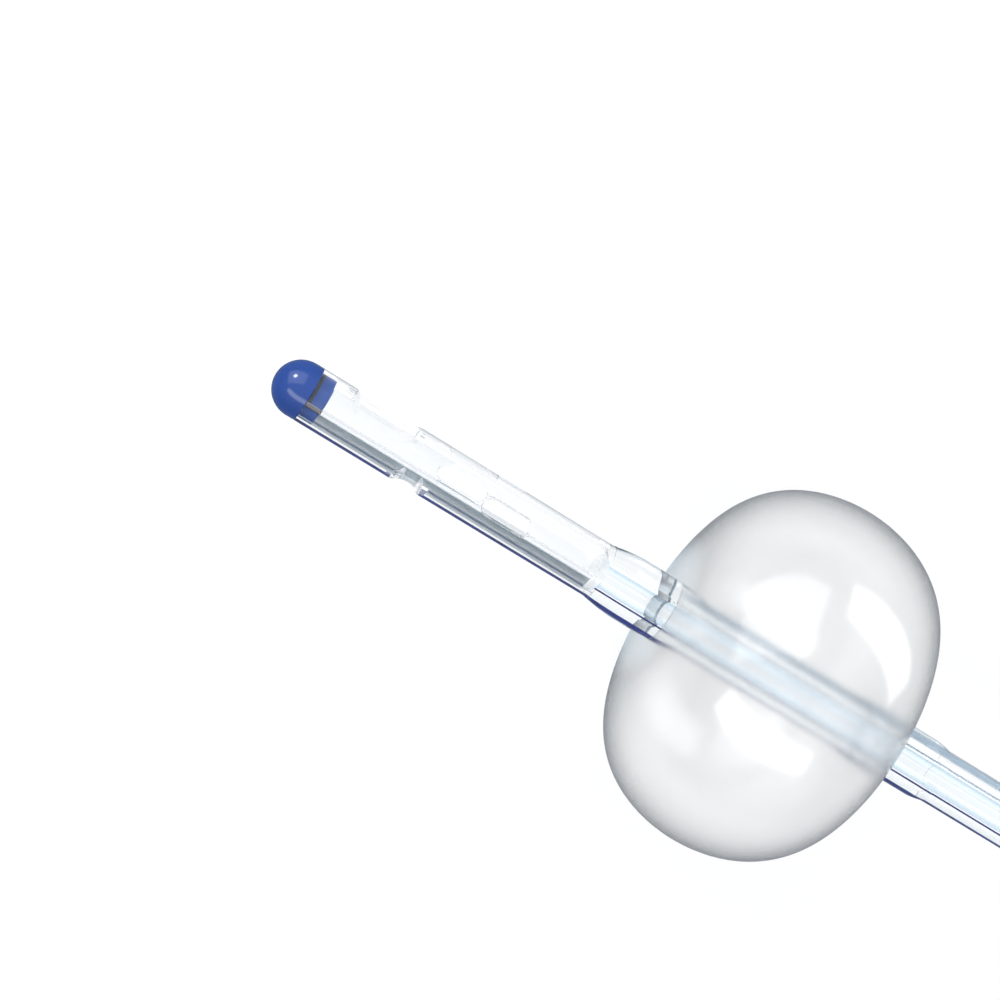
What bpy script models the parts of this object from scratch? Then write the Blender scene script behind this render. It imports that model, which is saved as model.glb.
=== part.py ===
"""A two-way drainage catheter of clear silicone, with its balloon filled, lying on a flat surface.

The tip end is straight and rides up on the balloon. Behind the balloon the shaft droops to the
surface, runs along it and enters the forked funnel, whose side arm ends in a sprung check valve.
Sizes are in metres, +Z is up and the tip points towards -X. Stations are distances behind the tip.
"""

import math

import bmesh
import bpy
from mathutils import Matrix, Vector

# Clearances
BOND_GAP = 0.00004
CUTTER_REACH = 0.0010

# Shaft and its passages
SHAFT_RADIUS = 0.0030
SHAFT_SIDES = 24
DRAIN_RADIUS = 0.00130
DRAIN_OFFSET = -0.00020
FILL_RADIUS = 0.00038
FILL_OFFSET = 0.00190
XRAY_RADIUS = 0.00038
XRAY_OFFSET = -0.00240
THREAD_SIDES = 8
STRAIGHT_BEHIND_BALLOON = 0.0180
DROOP_RUN = 0.1200
FLAT_RUN = 0.1200
LIFT_RUN = 0.0300
PITCH = math.radians(4.0)

# Tip
DOME_LENGTH = 0.0030
TIP_LAND = 0.0009
SPIGOT_LENGTH = 0.00185
SPIGOT_GROOVE_WIDTH = 0.00045
SPIGOT_GROOVE_DEPTH = 0.00030

# Tube with the drainage eyes, its bore divided by a thin partition
EYE_TUBE_BORE_RADIUS = 0.00178
EYE_TUBE_LENGTH = 0.0351
BORE_TAPER_LENGTH = 0.0011
PARTITION_OFFSET = -0.00084
PARTITION_WALL = 0.00042
PARTITION_SETBACK = 0.00020
PARTITION_ROOT = 0.00030

# Balloon and its cuffs
BALLOON_RADIUS = 0.01986
BALLOON_HALF_LENGTH = 0.01325
BALLOON_SHOULDER = 0.53
BALLOON_STATION = 0.0599
BALLOON_STEPS = 32
MEMBRANE_WALL = 0.00030
CROWN_INNER_RADIUS = 0.0042
FRONT_CUFF_WALL = 0.00046
REAR_CUFF_WALL = 0.00030
CUFF_EDGE_WALL = 0.00006
FRONT_CUFF_LENGTH = 0.0078
REAR_CUFF_LENGTH = 0.0079
FRONT_CUFF_TAPER = 0.0038
REAR_CUFF_TAPER = 0.0018
FILL_HOLE_BEHIND_FACE = 0.0009
NOTCH_WIDTH = 0.0014
NOTCH_DEPTH = 0.0012

# Funnel, measured along its own axis from the end that the shaft enters
FUNNEL_LENGTH = 0.0480
FUNNEL_STEPS = 32
SLEEVE_RADIUS = 0.0044
SLEEVE_NOSE_WALL = 0.0006
SLEEVE_NOSE_LENGTH = 0.0050
SLEEVE_LENGTH = 0.0200
FLARE_RADIUS = 0.0061
FLARE_END = 0.0420
RIM_RADIUS = 0.0071
RIM_LENGTH = 0.0040
RIM_ROUND = 0.0006
RIB_COUNT = 4
RIB_HEIGHT = 0.00045
RIB_PITCH = 0.0028
FUNNEL_SOCKET_DEPTH = 0.0240
FUNNEL_THROAT_RADIUS = 0.0021
FUNNEL_MOUTH_RADIUS = 0.0051
WEB_THICKNESS = 0.0024
WEB_ON_FLARE = 0.0300
WEB_ON_ARM = 0.0280
WEB_HOLLOW = Vector((0.0270, 0.0075))

# Side arm, measured along its own axis from the funnel's axis
ARM_ROOT = 0.0100
ARM_ANGLE = math.radians(30.0)
ARM_LENGTH = 0.0400
ARM_RADIUS = 0.0031
ARM_END_RADIUS = 0.0036
ARM_BORE_RADIUS = 0.0009
ARM_SOCKET_DEPTH = 0.0090
ARM_TAPER_LENGTH = 0.0030
ARM_SIDES = 24

# Check valve, measured along its own axis from the arm's end face
VALVE_STEPS = 24
BARB_LENGTH = 0.0085
BARB_STEM_RADIUS = 0.0018
BARB_BORE_RADIUS = 0.0008
BARB_CHAMFER = 0.0004
FLANGE_RADIUS = 0.0045
FLANGE_THICKNESS = 0.0014
SKIRT_RADIUS = 0.0036
SKIRT_END = 0.0062
CHAMBER_RADIUS = 0.0028
SEAT_STATION = 0.0082
SEAT_RADIUS = 0.0015
SEAT_THICKNESS = 0.0012
LUER_DEPTH = 0.0072
LUER_MOUTH_RADIUS = 0.002135
LUER_TAPER = 0.03
BARREL_RADIUS = 0.0045
BARREL_END = 0.0104
BARREL_CHAMFER = 0.0008
HUB_RADIUS = 0.0033
LUG_REACH = 0.0039
LUG_WIDTH = 0.0026
LUG_LENGTH = 0.0011
STEM_RADIUS = 0.0010
STEM_BELOW_MOUTH = 0.0018
STEM_CHAMFER = 0.0003
POPPET_RADIUS = 0.0024
POPPET_THICKNESS = 0.0006
SEAL_THICKNESS = 0.0009
SPRING_GUIDE_RADIUS = 0.0009
SPRING_GUIDE_LENGTH = 0.0017
SPRING_WIRE_RADIUS = 0.00018
SPRING_RADIUS = 0.0020
SPRING_TURNS = 4
SPRING_POINTS_PER_TURN = 12

# Stations along the straight end, worked out from the sizes above
SEAM_STATION = DOME_LENGTH + TIP_LAND
JOINT_STATION = SEAM_STATION + EYE_TUBE_LENGTH
FRONT_FACE_STATION = BALLOON_STATION - BALLOON_HALF_LENGTH
REAR_FACE_STATION = BALLOON_STATION + BALLOON_HALF_LENGTH
FRONT_CUFF_STATION = FRONT_FACE_STATION - FRONT_CUFF_LENGTH
REAR_CUFF_STATION = REAR_FACE_STATION + REAR_CUFF_LENGTH
FILL_HOLE_STATION = FRONT_FACE_STATION + MEMBRANE_WALL + FILL_HOLE_BEHIND_FACE
STRAIGHT_END_STATION = REAR_FACE_STATION + STRAIGHT_BEHIND_BALLOON
SHAFT_END = FUNNEL_SOCKET_DEPTH - BOND_GAP
PORT_STATION = ARM_ROOT + SHAFT_RADIUS / math.tan(ARM_ANGLE)
RIM_FOOT_STATION = FUNNEL_LENGTH - RIM_LENGTH + RIM_ROUND
FUNNEL_PITCH = math.atan((RIM_RADIUS - SLEEVE_RADIUS) / (RIM_FOOT_STATION - SLEEVE_NOSE_LENGTH))

# Share of an eye's shorter side that its rounded corners take
EYE_CORNER = 0.49

# The eyes: name, distance of the middle behind the tip's seam, length, width, turn from +Y over the
# top, and how near the axis the punch stops
EYES = (
    ("eye_left", 0.00764, 0.0075, 0.0034, math.radians(6.0), 0.0003),
    ("eye_right", 0.01294, 0.0031, 0.0036, math.radians(180.0), 0.0011),
    ("eye_below", 0.01827, 0.0058, 0.0019, math.radians(-80.0), 0.0015),
    ("eye_above", 0.02322, 0.0056, 0.0019, math.radians(96.0), 0.0015),
)

# Colours and finishes: base colour, roughness, transmission
FINISHES = {
    "clear_silicone": ((0.90, 0.94, 0.97), 0.08, 0.95),
    "balloon_silicone": ((0.93, 0.95, 0.97), 0.12, 0.95),
    "blue_silicone": ((0.03, 0.07, 0.32), 0.20, 0.0),
    "xray_blue": ((0.02, 0.04, 0.20), 0.50, 0.0),
    "plug_silicone": ((0.88, 0.93, 0.97), 0.20, 0.80),
    "funnel_silicone": ((0.90, 0.94, 0.96), 0.25, 0.80),
    "valve_red": ((0.62, 0.03, 0.03), 0.30, 0.0),
    "valve_white": ((0.85, 0.86, 0.87), 0.35, 0.0),
    "seal_rubber": ((0.10, 0.10, 0.11), 0.60, 0.0),
    "spring_steel": ((0.60, 0.61, 0.62), 0.25, 0.0),
}


def clear_scene():
    for obj in list(bpy.data.objects):
        bpy.data.objects.remove(obj, do_unlink=True)


def new_collection(name):
    collection = bpy.data.collections.new(name)
    bpy.context.scene.collection.children.link(collection)
    return collection


def finish(name):
    """One Principled BSDF material for each finish, made on first use."""
    if name in bpy.data.materials:
        return bpy.data.materials[name]
    colour, roughness, transmission = FINISHES[name]
    material = bpy.data.materials.new(name)
    material.use_nodes = True
    shader = material.node_tree.nodes["Principled BSDF"]
    shader.inputs["Base Color"].default_value = (*colour, 1.0)
    shader.inputs["Roughness"].default_value = roughness
    shader.inputs["Metallic"].default_value = 1.0 if name == "spring_steel" else 0.0
    shader.inputs["Transmission Weight"].default_value = transmission
    shader.inputs["IOR"].default_value = 1.41
    return material


def new_empty(name, parent=None, place=Matrix()):
    empty = bpy.data.objects.new(name, None)
    empty.empty_display_size = 0.01
    bpy.context.scene.collection.objects.link(empty)
    empty.parent = parent
    empty.matrix_local = place
    return empty


def frame_on(name, origin, direction, parent):
    """An empty whose local Z runs along direction, with local X as near to straight down as it can be."""
    along = Vector(direction).normalized()
    down = Vector((0.0, 0.0, -1.0))
    across = (down - along * down.dot(along)).normalized()
    side = along.cross(across)
    turn = Matrix((across, side, along)).transposed().to_4x4()
    return new_empty(name, parent, Matrix.Translation(origin) @ turn)


def add(obj, frame, finish_name=None):
    """Puts an object under its frame, as a part with a finish or as a cutter without one."""
    obj.parent = frame
    if finish_name:
        PARTS.objects.link(obj)
        obj.data.materials.append(finish(finish_name))
        return obj
    CUTTERS.objects.link(obj)
    obj.hide_render = True
    obj.display_type = "WIRE"
    return obj


def turned(name, profile, frame, finish_name=None, steps=SHAFT_SIDES, closed=False):
    """A profile of (radius, station) pairs turned about local Z, listed from its far end to its near end."""
    mesh = bpy.data.meshes.new(name)
    edges = [(i, i + 1) for i in range(len(profile) - 1)]
    if closed:
        edges.append((len(profile) - 1, 0))
    mesh.from_pydata([(r, 0.0, z) for r, z in profile], edges, [])
    obj = add(bpy.data.objects.new(name, mesh), frame, finish_name)
    screw = obj.modifiers.new("Turn", "SCREW")
    screw.axis = "Z"
    screw.angle = 2.0 * math.pi
    screw.steps = steps
    screw.render_steps = steps
    screw.use_merge_vertices = True
    screw.merge_threshold = 0.000002
    screw.use_smooth_shade = False
    return obj


def curve_tube(name, points, radius, sides, cyclic=False):
    curve = bpy.data.curves.new(name, "CURVE")
    curve.dimensions = "3D"
    curve.twist_mode = "Z_UP"
    curve.bevel_depth = radius
    curve.bevel_resolution = (sides - 4) // 2
    curve.use_fill_caps = True
    spline = curve.splines.new("POLY")
    spline.points.add(len(points) - 1)
    for place, point in zip(spline.points, points):
        place.co = (*point, 1.0)
    spline.use_cyclic_u = cyclic
    return bpy.data.objects.new(name, curve)


def as_mesh(curve_object):
    """The curve's own surface as a mesh object, with its loose caps welded on."""
    bpy.context.scene.collection.objects.link(curve_object)
    seen = curve_object.evaluated_get(bpy.context.evaluated_depsgraph_get())
    mesh = bpy.data.meshes.new_from_object(seen)
    name = curve_object.name
    place = curve_object.matrix_world.copy()
    bpy.data.objects.remove(curve_object, do_unlink=True)
    work = bmesh.new()
    work.from_mesh(mesh)
    bmesh.ops.remove_doubles(work, verts=work.verts, dist=0.000002)
    bmesh.ops.recalc_face_normals(work, faces=work.faces)
    work.to_mesh(mesh)
    work.free()
    mesh.name = name
    obj = bpy.data.objects.new(name, mesh)
    obj.matrix_world = place
    return obj


def outline_plate(name, outline, thickness):
    """A closed outline of (x, y) pairs filled and given a thickness about its own plane."""
    curve = bpy.data.curves.new(name, "CURVE")
    curve.dimensions = "2D"
    curve.fill_mode = "BOTH"
    curve.extrude = thickness / 2.0
    spline = curve.splines.new("POLY")
    spline.points.add(len(outline) - 1)
    for place, point in zip(spline.points, outline):
        place.co = (*point, 0.0, 1.0)
    spline.use_cyclic_u = True
    return as_mesh(bpy.data.objects.new(name, curve))


def boolean(target, tool, operation):
    step = target.modifiers.new(f"{operation.title()} {tool.name}", "BOOLEAN")
    step.operation = operation
    step.object = tool
    step.solver = "EXACT"


def box(name, size, centre, frame, turn=0.0):
    """A cutter or a lug as a box of the given size, turned about its own X."""
    mesh = bpy.data.meshes.new(name)
    work = bmesh.new()
    bmesh.ops.create_cube(work, size=1.0)
    bmesh.ops.scale(work, vec=size, verts=work.verts)
    bmesh.ops.rotate(work, cent=(0, 0, 0), matrix=Matrix.Rotation(turn, 3, "X"), verts=work.verts)
    bmesh.ops.translate(work, vec=centre, verts=work.verts)
    work.to_mesh(mesh)
    work.free()
    return add(bpy.data.objects.new(name, mesh), frame)


def around(radius, sides):
    """The corner radius of a bore with flat sides that still clears a round pin of this radius."""
    return radius / math.cos(math.pi / sides)


def ease(t):
    return t * t * (3.0 - 2.0 * t)


def half_round(radius, start, end, steps):
    """Points of an arc of the given radius about the origin, from one angle to the other."""
    span = end - start
    return [
        (radius * math.cos(start + span * i / steps), radius * math.sin(start + span * i / steps))
        for i in range(steps + 1)
    ]


def slot_outline(length, width, corner, corner_steps=5):
    """A rectangle with rounded corners about the origin, its length along x."""
    reach = (length / 2.0 - corner, width / 2.0 - corner)
    outline = []
    for quarter, (side_x, side_y) in enumerate(((1, 1), (-1, 1), (-1, -1), (1, -1))):
        start = quarter * math.pi / 2.0
        for x, y in half_round(corner, start, start + math.pi / 2.0, corner_steps):
            outline.append((side_x * reach[0] + x, side_y * reach[1] + y))
    return outline


def tip_profile(dome_steps=7):
    """Spigot, groove, shoulder, land and round nose, from the spigot's end to the tip."""
    spigot = EYE_TUBE_BORE_RADIUS - BOND_GAP
    groove = spigot - SPIGOT_GROOVE_DEPTH
    chamfer = SPIGOT_GROOVE_WIDTH / 3.0
    profile = [
        (0.0, SEAM_STATION + SPIGOT_LENGTH),
        (spigot - chamfer, SEAM_STATION + SPIGOT_LENGTH),
        (spigot, SEAM_STATION + SPIGOT_LENGTH - chamfer),
        (spigot, SEAM_STATION + SPIGOT_GROOVE_WIDTH),
        (groove, SEAM_STATION + SPIGOT_GROOVE_WIDTH),
        (groove, SEAM_STATION),
        (SHAFT_RADIUS, SEAM_STATION),
    ]
    for i in range(dome_steps + 1):
        angle = math.pi / 2.0 * i / dome_steps
        radius = SHAFT_RADIUS * math.cos(angle) if i < dome_steps else 0.0
        profile.append((radius, DOME_LENGTH * (1.0 - math.sin(angle))))
    return profile


def partition(name, near, far, wall, height, frame):
    """A flat plate along the bore, to one side of the axis, for the partition or for its slot."""
    middle = (0.0, PARTITION_OFFSET, (near + far) / 2.0)
    return box(name, (height, wall, far - near), middle, frame)


def make_tip(frame):
    """The nose and its spigot, slotted to straddle the tube's partition."""
    tip = turned("tip", tip_profile(), frame, "blue_silicone")
    near = SEAM_STATION + PARTITION_SETBACK - BOND_GAP
    far = SEAM_STATION + SPIGOT_LENGTH + CUTTER_REACH
    wall = PARTITION_WALL + 2.0 * BOND_GAP
    boolean(tip, partition("cut_spigot_slot", near, far, wall, 2.0 * SHAFT_RADIUS, frame), "DIFFERENCE")


def make_eye_tube(frame):
    """The tube with the partition in its bore, cut by the eyes and by the X-ray line's channel."""
    near = SEAM_STATION + BOND_GAP
    far = JOINT_STATION - BOND_GAP
    profile = [
        (SHAFT_RADIUS, far),
        (SHAFT_RADIUS, near),
        (EYE_TUBE_BORE_RADIUS, near),
        (EYE_TUBE_BORE_RADIUS, far - BORE_TAPER_LENGTH),
        (DRAIN_RADIUS, far),
    ]
    tube = turned("eye_tube", profile, frame, "clear_silicone", closed=True)
    partition_near = SEAM_STATION + PARTITION_SETBACK
    partition_far = far - BORE_TAPER_LENGTH
    half_chord = math.sqrt(EYE_TUBE_BORE_RADIUS ** 2 - PARTITION_OFFSET ** 2)
    height = 2.0 * (half_chord + PARTITION_ROOT)
    wall = partition("join_partition", partition_near, partition_far, PARTITION_WALL, height, frame)
    boolean(tube, wall, "UNION")
    for name, behind_seam, length, width, turn, punch_stop in EYES:
        corner = EYE_CORNER * min(length, width)
        plate = outline_plate(f"cut_{name}", slot_outline(length, width, corner), 2.0 * SHAFT_RADIUS)
        face_out = Matrix.Rotation(math.pi / 2.0 + turn, 4, "Z") @ Matrix.Rotation(math.pi / 2.0, 4, "Y")
        lift = Matrix.Translation((0.0, 0.0, SEAM_STATION + behind_seam))
        out = Matrix.Translation((0.0, 0.0, punch_stop + SHAFT_RADIUS))
        plate.data.transform(lift @ face_out @ out)
        boolean(tube, add(plate, frame), "DIFFERENCE")
    reach = (near - CUTTER_REACH, far + CUTTER_REACH)
    channel = rod("cut_xray_eye_tube", XRAY_RADIUS + BOND_GAP, XRAY_OFFSET, *reach, frame)
    boolean(tube, channel, "DIFFERENCE")


def rod(name, radius, offset, near, far, frame, finish_name=None):
    """A straight round rod parallel to the shaft, offset to one side of its axis."""
    profile = [(0.0, far), (radius, far), (radius, near), (0.0, near)]
    mesh_rod = turned(name, profile, frame, finish_name, steps=THREAD_SIDES + 4)
    mesh_rod.location = (0.0, offset, 0.0)
    return mesh_rod


def make_tip_xray_lines(frame):
    """The line stops at each side of the eye that is punched through it."""
    _, behind_seam, length, *_ = EYES[1]
    middle = SEAM_STATION + behind_seam
    stops = (
        ("xray_line_front", SEAM_STATION + 2.0 * BOND_GAP, middle - length / 2.0),
        ("xray_line_middle", middle + length / 2.0, JOINT_STATION - 2.0 * BOND_GAP),
    )
    for line_name, near, far in stops:
        rod(line_name, XRAY_RADIUS, XRAY_OFFSET, near, far, frame, "xray_blue")


def crown_point(radius, half_length, angle):
    """A point on the filled balloon's section, square-shouldered as it swells between its cuffs."""
    return (
        radius * math.sin(angle) ** BALLOON_SHOULDER,
        BALLOON_STATION - half_length * math.cos(angle),
    )


def crown(radius, half_length, steps):
    """The section from rear to front, between the rings where it turns into the cuffs."""
    start = math.asin((CROWN_INNER_RADIUS / radius) ** (1.0 / BALLOON_SHOULDER))
    span = math.pi - 2.0 * start
    return [
        crown_point(radius, half_length, math.pi - start - span * ease(i / steps))
        for i in range(steps + 1)
    ]


def cuff_taper(station, length, wall, side, steps=4):
    """The feathered end of a cuff: (radius, station) pairs from its thin edge inwards."""
    points = []
    for i in range(steps + 1):
        t = i / steps
        thick = CUFF_EDGE_WALL + (wall - CUFF_EDGE_WALL) * math.sin(t * math.pi / 2.0)
        points.append((CUFF_BORE_RADIUS + thick, station + side * length * t))
    return points


def balloon_profile(steps=22):
    """Outer side from the rear cuff's edge to the front cuff's edge, then the inner side back."""
    outer_crown = crown(BALLOON_RADIUS, BALLOON_HALF_LENGTH, steps)
    inner_crown = crown(BALLOON_RADIUS - MEMBRANE_WALL, BALLOON_HALF_LENGTH - MEMBRANE_WALL, steps)
    rear_cuff = CUFF_BORE_RADIUS + REAR_CUFF_WALL
    front_cuff = CUFF_BORE_RADIUS + FRONT_CUFF_WALL
    rear_root = CROWN_INNER_RADIUS - rear_cuff
    front_root = CROWN_INNER_RADIUS - front_cuff
    fillet_steps = 3
    outer = cuff_taper(REAR_CUFF_STATION, REAR_CUFF_TAPER, REAR_CUFF_WALL, -1)
    for i in range(fillet_steps):
        angle = math.pi / 2.0 * i / fillet_steps
        outer.append((
            CROWN_INNER_RADIUS - rear_root * math.cos(angle),
            outer_crown[0][1] + rear_root * (1.0 - math.sin(angle)),
        ))
    outer += outer_crown
    for i in range(fillet_steps - 1, -1, -1):
        angle = math.pi / 2.0 * i / fillet_steps
        outer.append((
            CROWN_INNER_RADIUS - front_root * math.cos(angle),
            outer_crown[-1][1] - front_root * (1.0 - math.sin(angle)),
        ))
    outer += reversed(cuff_taper(FRONT_CUFF_STATION, FRONT_CUFF_TAPER, FRONT_CUFF_WALL, 1))
    inner = [
        (CUFF_BORE_RADIUS, FRONT_CUFF_STATION),
        (CUFF_BORE_RADIUS, inner_crown[-1][1]),
        *reversed(inner_crown),
        (CUFF_BORE_RADIUS, inner_crown[0][1]),
        (CUFF_BORE_RADIUS, REAR_CUFF_STATION),
    ]
    return outer + inner


def make_balloon(frame):
    turned("balloon", balloon_profile(), frame, "balloon_silicone", steps=BALLOON_STEPS, closed=True)


def balloon_height():
    """How high the balloon's middle lies when the pitched balloon rests on the surface."""
    return max(
        r * math.cos(PITCH) + abs(z - BALLOON_STATION) * math.sin(PITCH) for r, z in balloon_profile()
    )


def straight_point(station):
    """Where a station of the straight end lies, with the balloon's middle over the origin."""
    back = station - BALLOON_STATION
    return Vector((back * math.cos(PITCH), 0.0, balloon_height() - back * math.sin(PITCH)))


def bend(start, start_slope, end, end_slope, steps):
    """A smooth bend in the upright plane: height as a cubic of the distance, without its two ends."""
    run = end.x - start.x
    points = []
    for i in range(1, steps):
        t = i / steps
        height = (
            start.z * (1.0 + 2.0 * t) * (1.0 - t) ** 2
            + start_slope * run * t * (1.0 - t) ** 2
            + end.z * t * t * (3.0 - 2.0 * t)
            - end_slope * run * t * t * (1.0 - t)
        )
        points.append(Vector((start.x + run * t, 0.0, height)))
    return points


def funnel_origin():
    """The funnel's entry, set so that its nose ring and its rim lie on the surface."""
    flat_end = straight_point(STRAIGHT_END_STATION).x + DROOP_RUN + FLAT_RUN
    height = SLEEVE_RADIUS * math.cos(FUNNEL_PITCH) - SLEEVE_NOSE_LENGTH * math.sin(FUNNEL_PITCH)
    return Vector((flat_end + LIFT_RUN, 0.0, height))


def funnel_direction():
    return Vector((math.cos(FUNNEL_PITCH), 0.0, math.sin(FUNNEL_PITCH)))


def shaft_route(extra=0.0):
    """Points along the shaft's axis, with its two ends drawn out by extra for a cutter."""
    joint = straight_point(JOINT_STATION + BOND_GAP - extra)
    straight_end = straight_point(STRAIGHT_END_STATION)
    touch = Vector((straight_end.x + DROOP_RUN, 0.0, SHAFT_RADIUS))
    leave = Vector((touch.x + FLAT_RUN, 0.0, SHAFT_RADIUS))
    entry = funnel_origin()
    end = entry + funnel_direction() * (SHAFT_END + extra)
    route = [joint, straight_end]
    route += bend(straight_end, -math.tan(PITCH), touch, 0.0, 12)
    route += [touch, leave]
    route += bend(leave, 0.0, entry, math.tan(FUNNEL_PITCH), 5)
    route += [entry, end]
    return route


def beside(route, offset):
    return [point + Vector((0.0, offset, 0.0)) for point in route]


def make_shaft(root, straight, funnel_frame):
    """The two-passage tube, with the notches that join the filling passage to balloon and arm."""
    shaft = as_mesh(curve_tube("shaft", shaft_route(), SHAFT_RADIUS, SHAFT_SIDES))
    add(shaft, root, "clear_silicone")
    long_route = shaft_route(extra=CUTTER_REACH)
    passages = (
        ("cut_drain", DRAIN_RADIUS, DRAIN_OFFSET, 16),
        ("cut_fill", FILL_RADIUS, FILL_OFFSET, THREAD_SIDES),
        ("cut_xray", XRAY_RADIUS + BOND_GAP, XRAY_OFFSET, THREAD_SIDES),
    )
    for name, radius, offset, sides in passages:
        cutter = as_mesh(curve_tube(name, beside(long_route, offset), radius, sides))
        boolean(shaft, add(cutter, root), "DIFFERENCE")
    notch_side = NOTCH_DEPTH * math.sqrt(2.0)
    notch_size = (NOTCH_WIDTH, notch_side, notch_side)
    balloon_notch = box(
        "cut_fill_hole", notch_size, (0.0, SHAFT_RADIUS, FILL_HOLE_STATION), straight, math.pi / 4.0
    )
    arm_notch = box(
        "cut_arm_port", notch_size, (0.0, SHAFT_RADIUS, PORT_STATION), funnel_frame, math.pi / 4.0
    )
    boolean(shaft, balloon_notch, "DIFFERENCE")
    boolean(shaft, arm_notch, "DIFFERENCE")


def make_xray_line(root):
    line = curve_tube("xray_line", beside(shaft_route(), XRAY_OFFSET), XRAY_RADIUS, THREAD_SIDES)
    add(line, root, "xray_blue")


def make_fill_plugs(straight, funnel_frame):
    """The filling passage is stopped ahead of the balloon's notch and behind the arm's port."""
    radius = FILL_RADIUS * math.cos(math.pi / THREAD_SIDES) - BOND_GAP
    front_end = FILL_HOLE_STATION - NOTCH_DEPTH - BOND_GAP
    rear_start = PORT_STATION + NOTCH_DEPTH + BOND_GAP
    near = JOINT_STATION + 2.0 * BOND_GAP
    rod("fill_plug_front", radius, FILL_OFFSET, near, front_end, straight, "plug_silicone")
    rod("fill_plug_rear", radius, FILL_OFFSET, rear_start, SHAFT_END, funnel_frame, "plug_silicone")


def funnel_outer_profile():
    """Rim, grip ribs, flare, sleeve and nose, from the mouth to the shaft's entry."""
    rim_start = FUNNEL_LENGTH - RIM_LENGTH
    profile = [(0.0, FUNNEL_LENGTH), (RIM_RADIUS - RIM_ROUND, FUNNEL_LENGTH)]
    for x, y in half_round(RIM_ROUND, math.pi / 2.0, 0.0, 3)[1:]:
        profile.append((RIM_RADIUS - RIM_ROUND + x, FUNNEL_LENGTH - RIM_ROUND + y))
    profile += [(RIM_RADIUS, rim_start + RIM_ROUND), (RIM_RADIUS - RIM_ROUND / 2.0, rim_start)]
    profile.append((FLARE_RADIUS, FLARE_END))
    slope = (FLARE_RADIUS - SLEEVE_RADIUS) / (FLARE_END - SLEEVE_LENGTH)
    for i in range(RIB_COUNT):
        top = FLARE_END - (i + 0.5) * RIB_PITCH
        for part, height in ((0.0, 0.0), (0.2, 1.0), (0.5, 1.0), (0.7, 0.0)):
            station = top - part * RIB_PITCH
            radius = SLEEVE_RADIUS + slope * (station - SLEEVE_LENGTH) + height * RIB_HEIGHT
            profile.append((radius, station))
    profile.append((SLEEVE_RADIUS, SLEEVE_LENGTH))
    nose_radius = SHAFT_RADIUS + SLEEVE_NOSE_WALL
    for i in range(4):
        t = i / 3
        profile.append((
            SLEEVE_RADIUS - (SLEEVE_RADIUS - nose_radius) * (1.0 - math.cos(t * math.pi / 2.0)),
            SLEEVE_NOSE_LENGTH * (1.0 - math.sin(t * math.pi / 2.0)),
        ))
    profile.append((0.0, 0.0))
    return profile


def funnel_bore_profile():
    """The socket round the shaft, the throat behind its end, and the long taper to the mouth."""
    socket = around(SHAFT_RADIUS + BOND_GAP, FUNNEL_STEPS)
    slope = (FUNNEL_MOUTH_RADIUS - FUNNEL_THROAT_RADIUS) / (FUNNEL_LENGTH - FUNNEL_SOCKET_DEPTH)
    return [
        (0.0, FUNNEL_LENGTH + CUTTER_REACH),
        (FUNNEL_MOUTH_RADIUS + slope * CUTTER_REACH, FUNNEL_LENGTH + CUTTER_REACH),
        (FUNNEL_THROAT_RADIUS, FUNNEL_SOCKET_DEPTH),
        (socket, FUNNEL_SOCKET_DEPTH),
        (socket, -CUTTER_REACH),
        (0.0, -CUTTER_REACH),
    ]


def web_outline(steps=6):
    """The web in the crotch between flare and arm, its free edge a hollow arc."""
    flare_end = Vector((WEB_ON_FLARE, SLEEVE_RADIUS))
    arm_end = Vector((ARM_ROOT + WEB_ON_ARM * math.cos(ARM_ANGLE), WEB_ON_ARM * math.sin(ARM_ANGLE)))
    outline = [(ARM_ROOT, 0.0)]
    for i in range(steps + 1):
        t = i / steps
        point = flare_end * (1.0 - t) ** 2 + WEB_HOLLOW * 2.0 * t * (1.0 - t) + arm_end * t * t
        outline.append(tuple(point))
    return outline


def make_funnel(frame, arm_frame):
    """Main cone, side arm and web joined, then bored for shaft, drainage, filling and valve stem."""
    funnel = turned("funnel", funnel_outer_profile(), frame, "funnel_silicone", steps=FUNNEL_STEPS)
    arm_profile = [
        (0.0, ARM_LENGTH),
        (ARM_END_RADIUS, ARM_LENGTH),
        (ARM_END_RADIUS, ARM_LENGTH - ARM_SOCKET_DEPTH),
        (ARM_RADIUS, ARM_LENGTH - ARM_SOCKET_DEPTH - ARM_TAPER_LENGTH),
        (ARM_RADIUS, 0.0),
        (0.0, 0.0),
    ]
    arm = turned("join_arm", arm_profile, arm_frame, steps=ARM_SIDES)
    web = outline_plate("join_web", web_outline(), WEB_THICKNESS)
    stand_up = Matrix(((0, 0, 1, 0), (0, 1, 0, 0), (1, 0, 0, 0), (0, 0, 0, 1)))
    web.data.transform(stand_up)
    web.data.flip_normals()
    add(web, frame)
    boolean(funnel, arm, "UNION")
    boolean(funnel, web, "UNION")
    bore = turned("cut_funnel_bore", funnel_bore_profile(), frame, steps=FUNNEL_STEPS)
    boolean(funnel, bore, "DIFFERENCE")
    stem_bore = around(BARB_STEM_RADIUS + BOND_GAP, VALVE_STEPS)
    arm_bore_profile = [
        (0.0, ARM_LENGTH + CUTTER_REACH),
        (stem_bore, ARM_LENGTH + CUTTER_REACH),
        (stem_bore, ARM_LENGTH - ARM_SOCKET_DEPTH),
        (ARM_BORE_RADIUS, ARM_LENGTH - ARM_SOCKET_DEPTH),
        (ARM_BORE_RADIUS, SHAFT_RADIUS),
        (0.0, SHAFT_RADIUS),
    ]
    arm_bore = turned("cut_arm_bore", arm_bore_profile, arm_frame, steps=ARM_SIDES)
    boolean(funnel, arm_bore, "DIFFERENCE")


def arm_origin():
    return funnel_origin() + funnel_direction() * ARM_ROOT


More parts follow.
